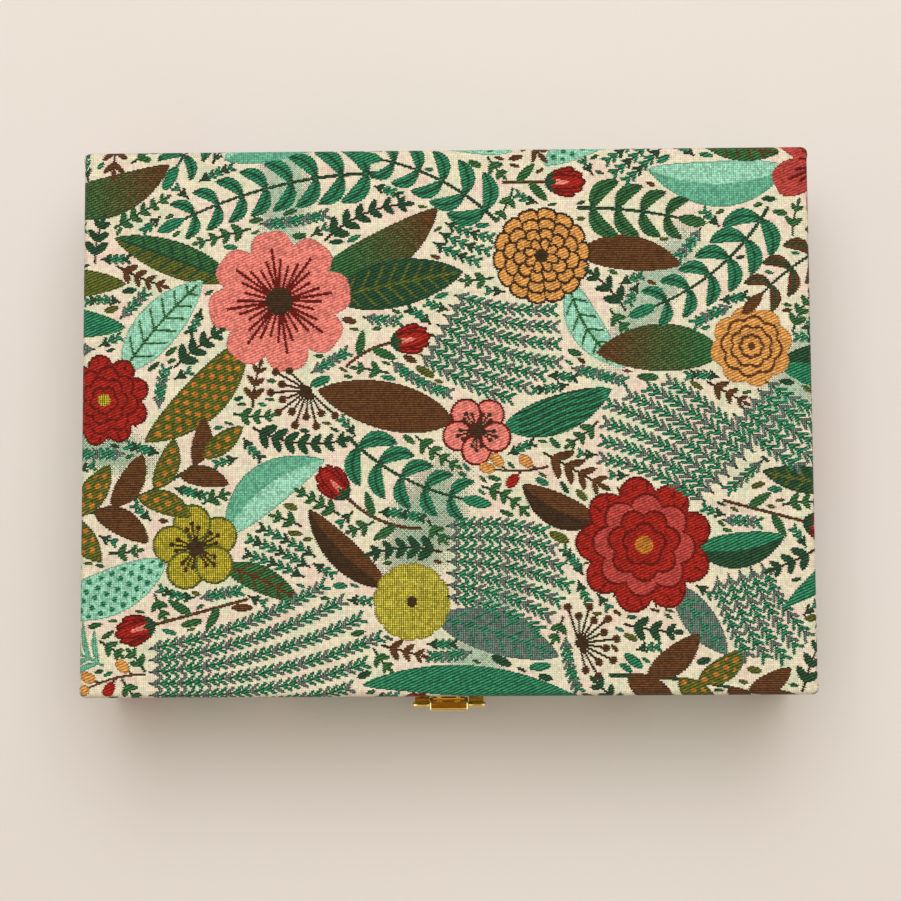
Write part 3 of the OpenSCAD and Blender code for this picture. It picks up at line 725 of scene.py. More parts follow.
class Finish:
    """A material under construction, with a Principled shader."""

    def __init__(self, name, **settings):
        self.material = bpy.data.materials.new(name)
        self.material.use_nodes = True
        self.tree = self.material.node_tree
        self.shader = self.tree.nodes["Principled BSDF"]
        for socket, value in settings.items():
            self.shader.inputs[socket.replace("_", " ")].default_value = value

    def node(self, kind, settings=None, values=(), output=0):
        made = self.tree.nodes.new(kind)
        settings = dict(settings or {})
        stops = settings.pop("stops", None)
        for key, value in settings.items():
            setattr(made, key, value)
        if stops:
            ramp = made.color_ramp
            for k, (place, colour) in enumerate(stops):
                stop = ramp.elements[k] if k < 2 else ramp.elements.new(place)
                stop.position, stop.color = place, (*colour, 1)
        for key, value in (values.items() if isinstance(values, dict) else enumerate(values)):
            if isinstance(value, Field):
                self.tree.links.new(value.socket, made.inputs[key])
            else:
                made.inputs[key].default_value = value
        return Field(self, made.outputs[output])

    def split(self, vector):
        made = self.node("ShaderNodeSeparateXYZ", {}, (vector,)).socket.node
        return [Field(self, socket) for socket in made.outputs]

    def point(self, x, y, z=0.0):
        return self.node("ShaderNodeCombineXYZ", {}, (x, y, z))

    def place(self):
        """Object coordinates in millimetres."""
        where = self.node("ShaderNodeTexCoord", {}, (), 3)
        return self.node("ShaderNodeVectorMath", {"operation": "SCALE"}, {0: where, 3: 1 / MM})

    def noise(self, where, scale, detail=2.0, rough=0.5):
        return self.node("ShaderNodeTexNoise", {}, {"Vector": where, "Scale": scale, "Detail": detail,
                                                    "Roughness": rough})

    def mix(self, share, first, second, how="MIX"):
        colours = [c if isinstance(c, Field) else (*c, 1) for c in (first, second)]
        settings = {"data_type": "RGBA", "blend_type": how}
        return self.node("ShaderNodeMix", settings, {0: share, 6: colours[0], 7: colours[1]}, 2)

    def ramp(self, value, *stops):
        return self.node("ShaderNodeValToRGB", {"stops": stops}, (value,))

    def bump(self, height, depth, strength=1.0):
        return self.node("ShaderNodeBump", {}, {"Height": height, "Distance": depth, "Strength": strength})

    def use(self, **sockets):
        for name, value in sockets.items():
            self.tree.links.new(value.socket, self.shader.inputs[name.replace("_", " ")])
        return self.material


def linear(colour):
    """A colour as the screen shows it (0 to 1), in the linear values that a shader takes."""
    return tuple(c / 12.92 if c <= 0.04045 else ((c + 0.055) / 1.055) ** 2.4 for c in colour)


# Woven cloth, in the pattern's millimetres: height of a rib, width of a warp yarn, and the distance of the
# climbing lines from each other, to the right and upwards
RIB, YARN, TWILL_RUN, TWILL_RISE = 0.8, 0.80, 2.59, 1.10


def brocade():
    f = Finish("brocade", Roughness=0.72, Specular_IOR_Level=0.16, Sheen_Weight=0.10, Sheen_Roughness=0.45)
    cell_x, cell_y, _ = f.split(f.node("ShaderNodeUVMap", {"uv_map": "cloth"}))
    across, up = cell_x.part() * CELL_COLS, cell_y.part() * CELL_ROWS
    sewn = []
    for k in range(CELL_COLS * CELL_ROWS):
        made = f.node("ShaderNodeAttribute", {"attribute_name": f"stitch_{k}"}).socket.node
        sewn.append((Field(f, made.outputs["Color"]), Field(f, made.outputs["Alpha"])))
    rows = []
    for r in range(CELL_ROWS):
        colour, binding = sewn[r * CELL_COLS]
        for c in range(1, CELL_COLS):
            further = across > float(c)
            next_colour, next_binding = sewn[r * CELL_COLS + c]
            colour = f.mix(further, colour, next_colour)
            binding = binding + further * (next_binding - binding)
        rows.append((colour, binding))
    colour, binding = rows[0]
    for r in range(1, CELL_ROWS):
        higher = up > float(r)
        colour = f.mix(higher, colour, rows[r][0])
        binding = binding + higher * (rows[r][1] - binding)

    x, y = cell_x * CELL, cell_y * CELL
    wander = f.noise(f.point(x * 0.12, y * 0.9), 1.0, 1.0) - 0.5
    row = (y / RIB).whole()
    rise = (y / RIB).part() * 2 - 1
    rib = 1 - rise * rise
    # Fine lines that climb to the right, where the floats of the coloured threads are bound
    climb = ((x / TWILL_RUN - y / TWILL_RISE + wander * 0.30).part() * (2 * math.pi)).sine()
    line = ((climb + 0.35) * 0.85).limited()
    column = (((x + wander * 0.3) / YARN).part() * (2 * math.pi)).sine() * 0.5 + 0.5
    figure = (binding * binding * 9).limited()
    warp = (x / YARN + wander).part() * 2 - 1
    yarn = 1 - warp * warp

    level, square = (0 - binding) > 0.0, binding > 1.99
    climbing = 1 - level - square
    strength = binding.maths("ABSOLUTE", binding) - square * 2
    dark = f.mix(1.0, colour, (0.085, 0.09, 0.06), "MULTIPLY")
    # Every coloured thread is darkened in the grooves between its ribs and between the warp yarns. This is partly the
    # dark binding that shows there and partly painted shade in the grooves.
    gap = ((1 - rib) * 1.4).limited()
    binding_and_groove_shade = line * climbing * 0.72 + gap * (level * 0.52 + square * 0.18 + 0.20)
    binding_and_groove_shade = binding_and_groove_shade + column * (square * 0.42 + 0.12)
    colour = f.mix((strength * binding_and_groove_shade).limited(0.0, 0.97), colour, dark)
    # The ground is a plain weave of fine threads, some pink, some straw, some pale green
    ground = 1 - figure
    yarn_tone = f.noise(f.point((x / YARN).whole() * 3.7, y * 0.05), 1.0, 0.0)
    area_tone = f.noise(f.point(x * 0.075, y * 0.075, 5.0), 1.0, 1.5)
    tint = f.ramp(area_tone * 0.65 + yarn_tone * 0.35, (0.38, linear((0.98, 0.80, 0.74))),
                  (0.46, linear((0.98, 0.92, 0.84))), (0.54, linear((0.96, 0.93, 0.76))),
                  (0.64, linear((0.80, 0.90, 0.76))))
    colour = f.mix(ground * 0.50, colour, tint)
    # Painted shade: the ground is darkened towards brown in the gaps between its yarns and between its ribs.
    grid = (1 - yarn) * 0.5 + (1 - rib) * 0.5
    colour = f.mix(ground * grid * 0.62, colour, linear((0.60, 0.52, 0.38)))
    dye = f.noise(f.point(x * 0.03, row * 0.37), 1.0, 2.0) - 0.5
    speck = f.node("ShaderNodeTexWhiteNoise", {"noise_dimensions": "3D"},
                   (f.point((x / YARN + row * 0.5).whole(), row, 3.0),)) - 0.5
    tone = 0.5 + dye * 0.30 + speck * (figure * 0.40 + 0.26)
    colour = f.mix(1.0, colour, f.ramp(tone, (0.0, (0.50, 0.50, 0.50)), (1.0, (1.50, 1.50, 1.50))), "MULTIPLY")
    height = figure * rib * (1 - line * 0.5) + ground * yarn * 0.45
    fluff = f.noise(f.place(), 3.0, 3.0, 0.7)
    return f.use(Base_Color=colour, Normal=f.bump(height + fluff * 0.35, 0.16 * MM, 0.8))


def velvet(name, colour):
    tint = (*linear([min(1, c * 1.5) for c in colour]), 1)
    f = Finish(name, Roughness=0.85, Specular_IOR_Level=0.1, Sheen_Weight=0.8, Sheen_Roughness=0.4,
               Sheen_Tint=tint)
    where = f.place()
    pile = f.noise(where, 2.4, 3.0, 0.75)
    brushed = f.noise(f.node("ShaderNodeVectorMath", {"operation": "MULTIPLY"}, {0: where, 1: (0.10, 0.035, 0.06)}),
                      1.0, 3.0, 0.6)
    shade = f.ramp(brushed * 0.45 + pile * 0.55, (0.32, linear([c * 0.74 for c in colour])), (0.5, linear(colour)),
                   (0.68, linear([min(1, c * 1.14 + 0.015) for c in colour])))
    return f.use(Base_Color=shade, Normal=f.bump(pile, 0.35 * MM, 0.6))


def fibreboard():
    f = Finish("fibreboard", Roughness=0.85, Specular_IOR_Level=0.2)
    where = f.place()
    fibre = f.noise(f.node("ShaderNodeVectorMath", {"operation": "MULTIPLY"}, {0: where, 1: (0.3, 0.5, 2.4)}), 0.8, 4.0, 0.7)
    fleck = f.noise(where, 1.6, 2.0)
    shade = f.ramp(fibre * 0.6 + fleck * 0.4, (0.35, linear((0.52, 0.39, 0.25))), (0.5, linear((0.68, 0.55, 0.39))),
                   (0.68, linear((0.78, 0.67, 0.50))))
    return f.use(Base_Color=shade, Normal=f.bump(fibre, 0.2 * MM, 0.5))


def sheet_stock(name, colour, grain_scale=1.2, contrast=0.14, rough=0.85):
    """Card, paper or foam: an even colour with fibres and flecks."""
    f = Finish(name, Roughness=rough, Specular_IOR_Level=0.25)
    where = f.place()
    fleck = f.noise(where, grain_scale, 4.0, 0.75)
    low, high = [max(0, c - contrast) for c in colour], [min(1, c + contrast * 0.7) for c in colour]
    shade = f.ramp(fleck, (0.3, linear(low)), (0.5, linear(colour)), (0.72, linear(high)))
    return f.use(Base_Color=shade, Normal=f.bump(fleck, 0.12 * MM, 0.5))


def plated_brass(name, colour, rough, scratch=1.0):
    f = Finish(name, Metallic=1.0, Specular_IOR_Level=0.5)
    where = f.place()
    smear = f.noise(where, 0.35, 2.0)
    along = f.node("ShaderNodeVectorMath", {"operation": "MULTIPLY"}, {0: where, 1: (0.25, 3.0, 3.0)})
    lines = f.noise(along, 1.6, 3.0, 0.7)
    shade = f.ramp(smear, (0.3, linear([c * 0.92 for c in colour])), (0.7, linear(colour)))
    gloss = smear * 0.10 + lines * 0.06 * scratch + (rough - 0.08)
    return f.use(Base_Color=shade, Roughness=gloss, Normal=f.bump(lines, 0.01 * MM * scratch, 0.25))
# The cloth's mesh. Every face lies in one cell of the pattern and carries the stitches of that cell.

# Box, in millimetres: half width and depth, and the radius of its rounded edges
HALF_W, HALF_D, EDGE_R, RIM_R = 133.0, 100.0, 2.3, 0.8
STRAIGHT = {"front": HALF_W - EDGE_R, "back": HALF_W - EDGE_R, "left": HALF_D - EDGE_R, "right": HALF_D - EDGE_R}
TOP_Z, LID_RIM_Z, TRAY_RIM_Z, UNDER_Z = 70.0, 44.2, 43.8, 0.6
WALL, TURN_IN, TURN_UNDER = 6.6, 11.0, 14.0
# Where the middle of the lid lies on the pattern, and where the tray's strip starts
LID_AT = (180.8, 144.0)
TRAY_AT = (24.0, 150.4)
# The fold at each corner of the lid: how far it laps round, and how thick the lapped cloth stands
LAP, LAP_T = 9.0, 0.4


def profile_of(points):
    """Length along a path of (inset, height) points, as a function from length to point."""
    points = np.array(points, float)
    length = np.concatenate([[0], np.cumsum(np.hypot(*np.diff(points, axis=0).T))])
    return length, lambda s: (np.interp(s, length, points[:, 0]), np.interp(s, length, points[:, 1]))


def bend(t, z, r, start, end, steps=6):
    """Quarter turn about (t, z)."""
    angles = np.radians(np.linspace(start, end, steps + 1))
    return [(t + r * math.cos(a), z + r * math.sin(a)) for a in angles]


LID_PROFILE = (bend(EDGE_R, TOP_Z - EDGE_R, EDGE_R, 90, 180, 8)
               + bend(RIM_R, LID_RIM_Z + RIM_R, RIM_R, 180, 270, 4)
               + bend(WALL - RIM_R, LID_RIM_Z + RIM_R, RIM_R, -90, 0, 4) + [(WALL, LID_RIM_Z + TURN_IN)])
TRAY_PROFILE = ([(WALL, TRAY_RIM_Z - TURN_IN)] + bend(WALL - RIM_R, TRAY_RIM_Z - RIM_R, RIM_R, 0, 90, 4)
                + bend(RIM_R, TRAY_RIM_Z - RIM_R, RIM_R, 90, 180, 4)
                + bend(RIM_R, UNDER_Z + RIM_R, RIM_R, 180, 270, 4) + [(TURN_UNDER, UNDER_Z)])


def on_wall(side, q, inset, z, out=0.0):
    """Point of a wall: q to the right of its middle seen from outside, inset from the box's outline, z up."""
    straight, sideways = STRAIGHT[side], side in ("left", "right")
    depth = (HALF_W if sideways else HALF_D) - EDGE_R
    reach = np.abs(q)
    turn = np.clip((reach - straight) / EDGE_R, 0, math.pi / 2)
    past = np.maximum(reach - straight - EDGE_R * math.pi / 2, 0)
    deep = np.maximum(inset - EDGE_R, 0)
    r = np.maximum(EDGE_R - inset, 0) + out
    along = np.sign(q) * (np.minimum(reach, straight - deep) + r * np.sin(turn))
    away = depth - deep + r * np.cos(turn) - past
    z = z + 0 * along
    if side == "front":
        return np.stack([along, -away, z], -1)
    if side == "back":
        return np.stack([-along, away, z], -1)
    if side == "right":
        return np.stack([away, along, z], -1)
    return np.stack([-away, -along, z], -1)


def lines(low, high, origin, extra=()):
    """Grid lines from low to high: the pattern's cell lines, whose origin is given, and extra ones."""
    first = math.ceil((low + origin) / CELL) * CELL - origin
    cells = np.arange(first, high, CELL)
    cells = cells[(cells > low + 0.02) & (cells < high - 0.02)]
    ends = [low, high]
    extra = [e for e in extra if low < e < high and np.abs(np.append(cells, ends) - e).min() > 0.12]
    return np.array(sorted([*ends, *cells, *extra]))


class ClothMesh:
    """Gathers the faces of one cloth, with the place of each vertex on the pattern."""

    def __init__(self):
        self.points, self.pattern, self.flat, self.faces = [], [], [], []
        self.count = 0

    def grid(self, points, pattern, flat, flip=True):
        """Rows by columns of points, in millimetres, with their places on the pattern and in the baked image."""
        rows, cols = points.shape[:2]
        index = self.count + np.arange(rows * cols).reshape(rows, cols)
        quads = np.stack([index[:-1, :-1], index[:-1, 1:], index[1:, 1:], index[1:, :-1]], -1).reshape(-1, 4)
        if flip:
            quads = quads[:, ::-1]
        corners = points.reshape(-1, 3)[quads - self.count]
        size = np.linalg.norm(np.cross(corners[:, 2] - corners[:, 0], corners[:, 3] - corners[:, 1]), axis=1)
        self.points.append(points.reshape(-1, 3))
        self.pattern.append(pattern.reshape(-1, 2))
        self.flat.append(flat.reshape(-1, 2))
        self.faces.append(quads[size > 1e-4])
        self.count += rows * cols

    def build(self, name, thread):
        """The object, with the stitches of each face."""
        points, pattern, faces = (np.concatenate(x) for x in (self.points, self.pattern, self.faces))
        mesh = bpy.data.meshes.new(name)
        mesh.from_pydata((points * MM).tolist(), [], faces.tolist())
        corner = np.zeros(len(mesh.loops), np.int32)
        mesh.loops.foreach_get("vertex_index", corner)
        for layer, values in (("cloth", pattern / CELL), ("OFBake", np.concatenate(self.flat))):
            uv = mesh.uv_layers.new(name=layer)
            uv.data.foreach_set("uv", values[corner].astype(np.float32).ravel())
        middle = pattern[faces].mean(1) / CELL
        cell = np.floor(middle + 1e-6).astype(int)
        colours = np.array([(*linear(c), BINDING[kind](s)) for c, s, kind in THREADS.values()])
        drawn = thread > 0
        rim = drawn & ~np.all([np.roll(drawn, step, way) for step in (1, -1) for way in (0, 1)], axis=0)
        dark = colours * (*[EDGE_TONE] * 3, 1)
        colours = np.concatenate([colours, dark])
        thread = thread + rim * len(THREADS)
        for r in range(CELL_ROWS):
            for c in range(CELL_COLS):
                rows = (cell[:, 1] * CELL_ROWS + r) % REPEAT_ROWS
                cols = (cell[:, 0] * CELL_COLS + c) % REPEAT_COLS
                layer = mesh.attributes.new(f"stitch_{r * CELL_COLS + c}", "FLOAT_COLOR", "FACE")
                layer.data.foreach_set("color", colours[thread[rows, cols]].astype(np.float32).ravel())
        mesh.polygons.foreach_set("use_smooth", [True] * len(mesh.polygons))
        made = bpy.data.objects.new(name, mesh)
        bpy.context.scene.collection.objects.link(made)
        weld(made)
        return made


def weld(made):
    """Joins the points that lie on each other."""
    work = bmesh.new()
    work.from_mesh(made.data)
    bmesh.ops.remove_doubles(work, verts=work.verts, dist=0.02 * MM)
    work.to_mesh(made.data)
    work.free()
    made.data.update()
def pair(first, second):
    """Two grids of one coordinate each, as one grid of pairs."""
    first, second = np.broadcast_arrays(first, second)
    return np.stack([first, second], -1)


def smooth(x):
    x = np.clip(x, 0, 1)
    return x * x * (3 - 2 * x)


def lid_cover(thread):
    """The lid's cloth: over the top, down the walls and round the rim, with a fold at each corner."""
    cloth = ClothMesh()
    ox, oy = LID_AT
    length, at = profile_of(LID_PROFILE)
    wall_end = length[9]
    side_w, side_d = STRAIGHT["front"], STRAIGHT["right"]
    image = 352.0

    def add(side, s, q, out=0.0):
        inset, z = at(s)
        if side in ("front", "back"):
            sign = 1 if side == "front" else -1
            pattern = pair(ox + sign * q, oy - sign * (side_d + s))
        else:
            sign = 1 if side == "right" else -1
            pattern = pair(ox + sign * (side_w + s), oy + sign * q)
        # The rounding starts on the flat top, so the cloth's first millimetres lie above the outline
        cloth.grid(on_wall(side, q, inset, z, out), pattern, (pattern - (ox, oy)) / image + 0.5)

    x, y = np.meshgrid(lines(-side_w, side_w, ox), lines(-side_d, side_d, oy))
    top = np.stack([x, y, TOP_Z + 0 * x], -1)
    cloth.grid(top, pair(x + ox, y + oy), pair(x, y) / image + 0.5, flip=False)

    origins = {"front": (ox, side_d - oy), "back": (-ox, side_d + oy),
               "right": (oy, side_w + ox), "left": (-oy, side_w - ox)}
    for side, (q_origin, s_origin) in origins.items():
        straight = STRAIGHT[side]
        arcs = [sign * (straight + EDGE_R * math.radians(a)) for sign in (-1, 1) for a in range(0, 91, 15)]
        folded = side in ("front", "back")
        far = straight + EDGE_R * math.pi / 2 * folded
        s, q = np.meshgrid(lines(0, wall_end, s_origin, length), lines(-far, far, q_origin, arcs), indexing="ij")
        lift = LAP_T * smooth((np.abs(q) - straight) / (EDGE_R * math.pi / 2)) * smooth(s / 5) * folded
        add(side, s, q, lift)
        far = straight + EDGE_R * math.pi / 4
        s, q = np.meshgrid(lines(wall_end, length[-1], s_origin, length), lines(-far, far, q_origin, arcs),
                           indexing="ij")
        add(side, s, q)
        if not folded:
            continue
        corner = straight + EDGE_R * math.pi / 2
        under = wall_end + RIM_R * math.pi / 2 + 1.0
        share = np.array([0, 0.12, 0.25, 0.38, 0.5, 0.62, 0.74, 0.84, 0.91, 0.96, 1.0])
        for sign in (-1, 1):
            s, f = np.meshgrid(lines(0.8, under, s_origin, length), share, indexing="ij")
            q = corner + f * LAP * np.clip((s - 0.8) / (wall_end - 0.8), 0, 1)
            edge = 1 - 1.2 * smooth((f - 0.84) / 0.16)
            lift = LAP_T * smooth(s / 5) * edge * (1 - 0.8 * smooth((s - wall_end) / (under - wall_end)))
            if sign > 0:
                add(side, s, q, lift)
            else:
                add(side, s[:, ::-1], -q[:, ::-1], lift[:, ::-1])
    return cloth.build("lid_brocade", thread)


def tray_cover(thread):
    """The tray's cloth: a strip round the walls, turned in over the rim and under the bottom."""
    cloth = ClothMesh()
    length, at = profile_of(TRAY_PROFILE)
    start = 0.0
    for band, side in enumerate(("front", "right", "back", "left")):
        straight = STRAIGHT[side]
        far = straight + EDGE_R * math.pi / 4
        start += far if band else 0
        ox, oy = TRAY_AT[0] + start, TRAY_AT[1]
        arcs = [sign * (straight + EDGE_R * math.radians(a)) for sign in (-1, 1) for a in range(0, 46, 15)]
        s, q = np.meshgrid(lines(0, length[-1], -oy, length), lines(-far, far, ox, arcs), indexing="ij")
        inset, z = at(s)
        image = 4 * length[-1] + 12
        flat = pair((q + far + 2) / image, (band * (length[-1] + 3) + s + 1) / image)
        cloth.grid(on_wall(side, q, inset, z), pair(ox + q, oy - s), flat)
        start += far
    return cloth.build("tray_brocade", thread)


# Velvet pads and panels

def soft_form(name, node, axis, sign, rounding, seam, crown, inset=0.0, gather=0.0, seed=1):
    """Closed padded form in the space of a CAD node. Its soft side faces along axis, its back is flat."""
    low, high = (np.array(c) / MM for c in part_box(node))
    i, j = (axis + 1) % 3, (axis + 2) % 3
    centre, half = (low + high) / 2, (high - low) / 2 - inset
    height = high[axis] - low[axis] - inset
    near = np.array([0, 0.06, 0.16, 0.30, 0.48, 0.72, 1.0, 1.5]) * rounding
    rnd = np.random.RandomState(seed)
    grids = []
    for k in (i, j):
        inner = np.linspace(0, half[k] - 2.2 * rounding, max(3, int(half[k] / 2.6)))
        side = np.concatenate([inner, half[k] - near[::-1]])
        grids.append(np.unique(np.concatenate([-side, side])))
    x, y = np.meshgrid(*grids)
    u, v = np.abs(x) / half[i], np.abs(y) / half[j]
    edge_x, edge_y = half[i] - np.abs(x), half[j] - np.abs(y)
    over_x, over_y = (np.sqrt(1 - (1 - np.clip(e / rounding, 0, 1)) ** 2) for e in (edge_x, edge_y))
    over = over_x * over_y
    swell = (1 - u ** 4) * (1 - v ** 4)
    folds = np.zeros_like(x)
    for _ in range(26):
        pitch, phase = rnd.uniform(0.10, 0.34), rnd.uniform(0, 2 * math.pi)
        folds += np.sin(pitch * x + phase) * np.exp(-edge_y / 9) + np.sin(pitch * y + phase) * np.exp(-edge_x / 9)
    soft = seam + (height - seam - crown * 0.7) * over + crown * swell + gather * folds * over
    back_x, back_y = (np.sqrt(1 - (1 - np.clip(e / (0.5 * rounding), 0, 1)) ** 2) for e in (edge_x, edge_y))
    back = seam * (1 - back_x * back_y)
    points = []
    for z in (soft, back):
        p = np.zeros((*x.shape, 3))
        p[..., i], p[..., j] = centre[i] + x, centre[j] + y
        p[..., axis] = low[axis] + z if sign > 0 else high[axis] - z
        points.append(p.reshape(-1, 3))
    rows, cols = x.shape
    index = np.arange(rows * cols).reshape(rows, cols)
    quads = np.stack([index[:-1, :-1], index[:-1, 1:], index[1:, 1:], index[1:, :-1]], -1).reshape(-1, 4)
    front, rear = (quads, quads[:, ::-1]) if sign > 0 else (quads[:, ::-1], quads)
    mesh = bpy.data.meshes.new(name)
    faces = np.concatenate([front, rear + rows * cols]).tolist()
    mesh.from_pydata((np.concatenate(points) * MM).tolist(), [], faces)
    mesh.polygons.foreach_set("use_smooth", [True] * len(mesh.polygons))
    made = bpy.data.objects.new(name, mesh)
    bpy.context.scene.collection.objects.link(made)
    weld(made)
    return made


def dress(piece, material):
    """Gives a piece, or a CAD node by its name, one material."""
    made = bpy.data.objects[piece] if isinstance(piece, str) else piece
    made.data.materials.clear()
    made.data.materials.append(material)


# The scene's making starts here: cloth

thread = draw_pattern()
cloth = brocade()
for name, node, body, maker, flat in (
        ("lid_brocade", "lid_cloth", "lid", lid_cover, (0.3495, 0.2835)),
        ("tray_brocade", "base_cloth", "tray", tray_cover, (0.928, 0.0738))):
    piece = maker(thread)
    dress(piece, cloth)
    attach(piece, body)
    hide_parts(node)

# Velvet pads over foam and card, and velvet panels

red_velvet = velvet("velvet", (0.55, 0.11, 0.13))
foam = sheet_stock("foam", (0.93, 0.91, 0.84), 2.5, 0.05, 0.9)
for part, body, sign in (("floor", "tray", 1), ("lid", "lid", -1)):
    cover = soft_form(f"{part}_velvet_pad", f"{part}_pad_cover", 2, sign, 3.6, 2.1, 1.6, gather=0.03, seed=4)
    fill = soft_form(f"{part}_pad_filling", f"{part}_pad_foam", 2, sign, 3.0, 0.1, 1.2, inset=0.3, seed=4)
    for piece, node, slot, material in ((cover, f"{part}_pad_cover", "lining", red_velvet),
                                        (fill, f"{part}_pad_foam", "foam", foam)):
        dress(piece, material)
        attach(piece, body)
        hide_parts(node)

for part, body in (("base", "tray"), ("lid", "lid")):
    for k, (side, axis, sign) in enumerate((("front", 1, 1), ("back", 1, -1), ("left", 0, 1), ("right", 0, -1))):
        node = f"{part}_lining_{side}"
        piece = soft_form(f"{body}_velvet_{side}", node, axis, sign, 0.9, 0.9, 0.2, gather=0.006, seed=20 + k)
        dress(piece, red_velvet)
        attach(piece, body)
        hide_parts(node)

# CAD nodes that keep their shape

board = fibreboard()
for part in ("base_bottom", "base_front", "base_back", "base_left", "base_right",
             "lid_top", "lid_front", "lid_back", "lid_left", "lid_right"):
    dress(f"{part}_board", board)
card = sheet_stock("pasteboard", (0.56, 0.54, 0.50), 1.4, 0.10)
for part in ("floor_pad_card", "lid_pad_card"):
    dress(part, card)
dress("underside_paper", sheet_stock("backing paper", (0.15, 0.14, 0.14), 1.0, 0.05, 0.8))
brass = plated_brass("plated brass", (0.87, 0.71, 0.36), 0.22)
for part in ("left_hinge_base_leaf", "left_hinge_lid_leaf", "left_hinge_pin", "right_hinge_base_leaf",
             "right_hinge_lid_leaf", "right_hinge_pin", "hinge_base_screws", "hinge_lid_screws"):
    dress(part, brass)
polished = plated_brass("polished brass", (0.94, 0.80, 0.44), 0.12, 0.6)
for part in ("clasp_plate", "clasp_pin", "clasp_lever", "clasp_catch", "clasp_plate_nails", "clasp_catch_nails"):
    dress(part, polished)



def rounded_lever(radius=1.6):
    """The clasp's lever with its sides bent round from the face, as a press makes them."""
    node = bpy.data.objects["clasp_lever"]
    work = bmesh.new()
    work.from_mesh(node.data)
    bmesh.ops.remove_doubles(work, verts=work.verts, dist=0.005 * MM)
    bmesh.ops.dissolve_limit(work, angle_limit=math.radians(1.5), verts=work.verts, edges=work.edges)
    half = max(v.co.x for v in work.verts) - 0.02 * MM
    bends = []
    for edge in work.edges:
        if len(edge.link_faces) != 2 or min(abs(v.co.x) for v in edge.verts) < half:
            continue
        side, face = sorted(edge.link_faces, key=lambda f: -abs(f.normal.x))
        if abs(side.normal.x) > 0.9 and abs(face.normal.x) < 0.3 and face.normal.y < 0.35:
            bends.append(edge)
    bmesh.ops.bevel(work, geom=bends, offset=radius * MM, segments=6, affect="EDGES", profile=0.5,
                    clamp_overlap=False)
    mesh = bpy.data.meshes.new("lever_bent")
    work.to_mesh(mesh)
    work.free()
    made = bpy.data.objects.new("lever_bent", mesh)
    bpy.context.scene.collection.objects.link(made)
    mesh.polygons.foreach_set("use_smooth", [True] * len(mesh.polygons))
    mesh.set_sharp_from_angle(angle=math.radians(32))
    return made


lever = rounded_lever()
dress(lever, polished)
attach(lever, "lever")
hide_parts("clasp_lever")

# Sheet metal has no sharp edges: the stamped ones are a little round
for part, radius in (("clasp_plate", 0.16), ("clasp_catch", 0.16), ("clasp_pin", 0.12),
                     ("left_hinge_base_leaf", 0.14), ("left_hinge_lid_leaf", 0.14),
                     ("right_hinge_base_leaf", 0.14), ("right_hinge_lid_leaf", 0.14)):
    joined = bpy.data.objects[part].modifiers.new("joined", "WELD")
    joined.merge_threshold = 0.005 * MM
    rounded = bpy.data.objects[part].modifiers.new("rounded", "BEVEL")
    rounded.width, rounded.segments, rounded.limit_method = radius * MM, 3, "ANGLE"
    rounded.angle_limit, rounded.harden_normals = math.radians(40), True

wadding = soft_form("lid_wadding_sheet", "lid_wadding", 2, 1, 1.2, 0.1, 0.0, inset=0.05, seed=8)
dress(wadding, foam)
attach(wadding, "lid")
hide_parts("lid_wadding")

# Floor, light and camera

bpy.context.scene.view_settings.view_transform = "Standard"

mesh = bpy.data.meshes.new("floor")
mesh.from_pydata([(-40, -40, 0), (40, -40, 0), (40, 40, 0), (-40, 40, 0)], [], [(0, 1, 2, 3)])
floor = bpy.data.objects.new("floor", mesh)
bpy.context.scene.collection.objects.link(floor)
paper = Finish("floor", Roughness=0.9, Specular_IOR_Level=0.1)
tone = paper.noise(paper.place(), 0.004, 2.0)
dress(floor, paper.use(Base_Color=paper.ramp(tone, (0.3, (0.802, 0.750, 0.698)), (0.7, (0.822, 0.770, 0.718)))))

world = bpy.data.worlds.new("studio")
bpy.context.scene.world = world
world.use_nodes = True
sky = world.node_tree


def band(*stops):
    """Colour by height above the horizon: 0 level, 1 overhead."""
    ramp = sky.nodes.new("ShaderNodeValToRGB")
    for k, (place, colour) in enumerate(stops):
        stop = ramp.color_ramp.elements[k] if k < 2 else ramp.color_ramp.elements.new(place)
        stop.position, stop.color = place, (*colour, 1)
    sky.links.new(split.outputs["Z"], ramp.inputs[0])
    return ramp.outputs[0]


split = sky.nodes.new("ShaderNodeSeparateXYZ")
sky.links.new(sky.nodes.new("ShaderNodeTexCoord").outputs["Generated"], split.inputs[0])
light = band((0.0, (0.20, 0.16, 0.11)), (0.35, (0.50, 0.415, 0.30)), (0.75, (1.0, 0.865, 0.63)))
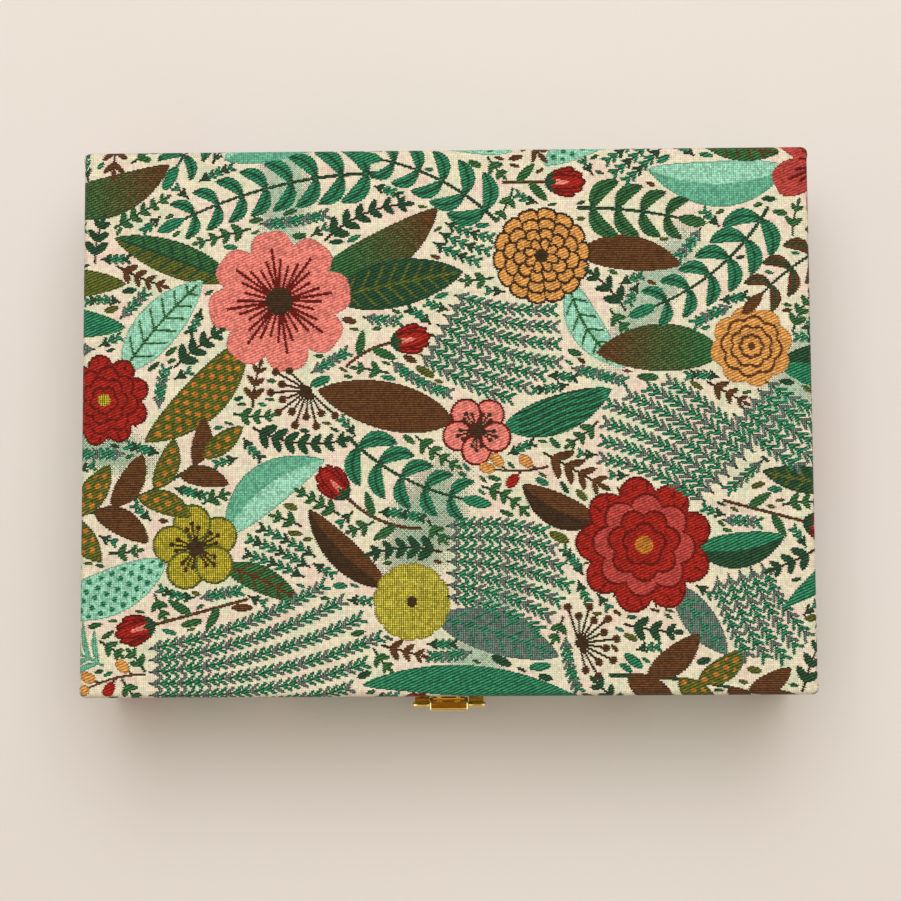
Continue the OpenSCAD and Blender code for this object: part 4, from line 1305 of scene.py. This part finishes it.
# What metal shows: white screens at the left and right, the darker room in front and behind
screens = band((0.0, (2.6, 3.2, 4.4)), (0.50, (3.2, 3.9, 5.4)), (0.93, (3.2, 3.9, 5.4)), (0.975, (0.52, 0.25, 0.02)))
room = band((0.0, (0.30, 0.20, 0.06)), (0.45, (0.60, 0.42, 0.14)), (0.66, (2.4, 2.8, 3.6)), (0.90, (0.52, 0.25, 0.02)))
aside = sky.nodes.new("ShaderNodeMath")
aside.operation = "MULTIPLY"
sky.links.new(split.outputs["X"], aside.inputs[0])
sky.links.new(split.outputs["X"], aside.inputs[1])
reach = sky.nodes.new("ShaderNodeMapRange")
reach.inputs["From Min"].default_value, reach.inputs["From Max"].default_value = 0.03, 0.10
sky.links.new(aside.outputs[0], reach.inputs[0])
around = sky.nodes.new("ShaderNodeMix")
around.data_type = "RGBA"
sky.links.new(reach.outputs[0], around.inputs[0])
sky.links.new(room, around.inputs[6])
sky.links.new(screens, around.inputs[7])
path = sky.nodes.new("ShaderNodeLightPath")
seen = sky.nodes.new("ShaderNodeMix")
seen.data_type = "RGBA"
sky.links.new(path.outputs["Is Glossy Ray"], seen.inputs[0])
sky.links.new(light, seen.inputs[6])
sky.links.new(around.outputs[2], seen.inputs[7])
sky.links.new(seen.outputs[2], sky.nodes["Background"].inputs["Color"])
sky.nodes["Background"].inputs["Strength"].default_value = 0.50

lamp = bpy.data.lights.new("key", "AREA")
lamp.shape, lamp.size, lamp.size_y, lamp.energy = "ELLIPSE", 1.45, 1.85, 20.3
lamp.color = (0.985, 1.01, 1.085)
key = bpy.data.objects.new("key", lamp)
key.location = (0.03, 0.49, 1.52)
key.rotation_euler = (-0.314, 0.0, 0.0)
key.visible_glossy = False
bpy.context.scene.collection.objects.link(key)

lens = bpy.data.cameras.new("camera")
lens.lens, lens.sensor_width = 80, 36
camera = bpy.data.objects.new("camera", lens)
camera.location = (0.01301, -0.07464, 0.79393)
camera.rotation_euler = (0.08716, 0.01641, -0.00571)
bpy.context.scene.collection.objects.link(camera)
bpy.context.scene.camera = camera
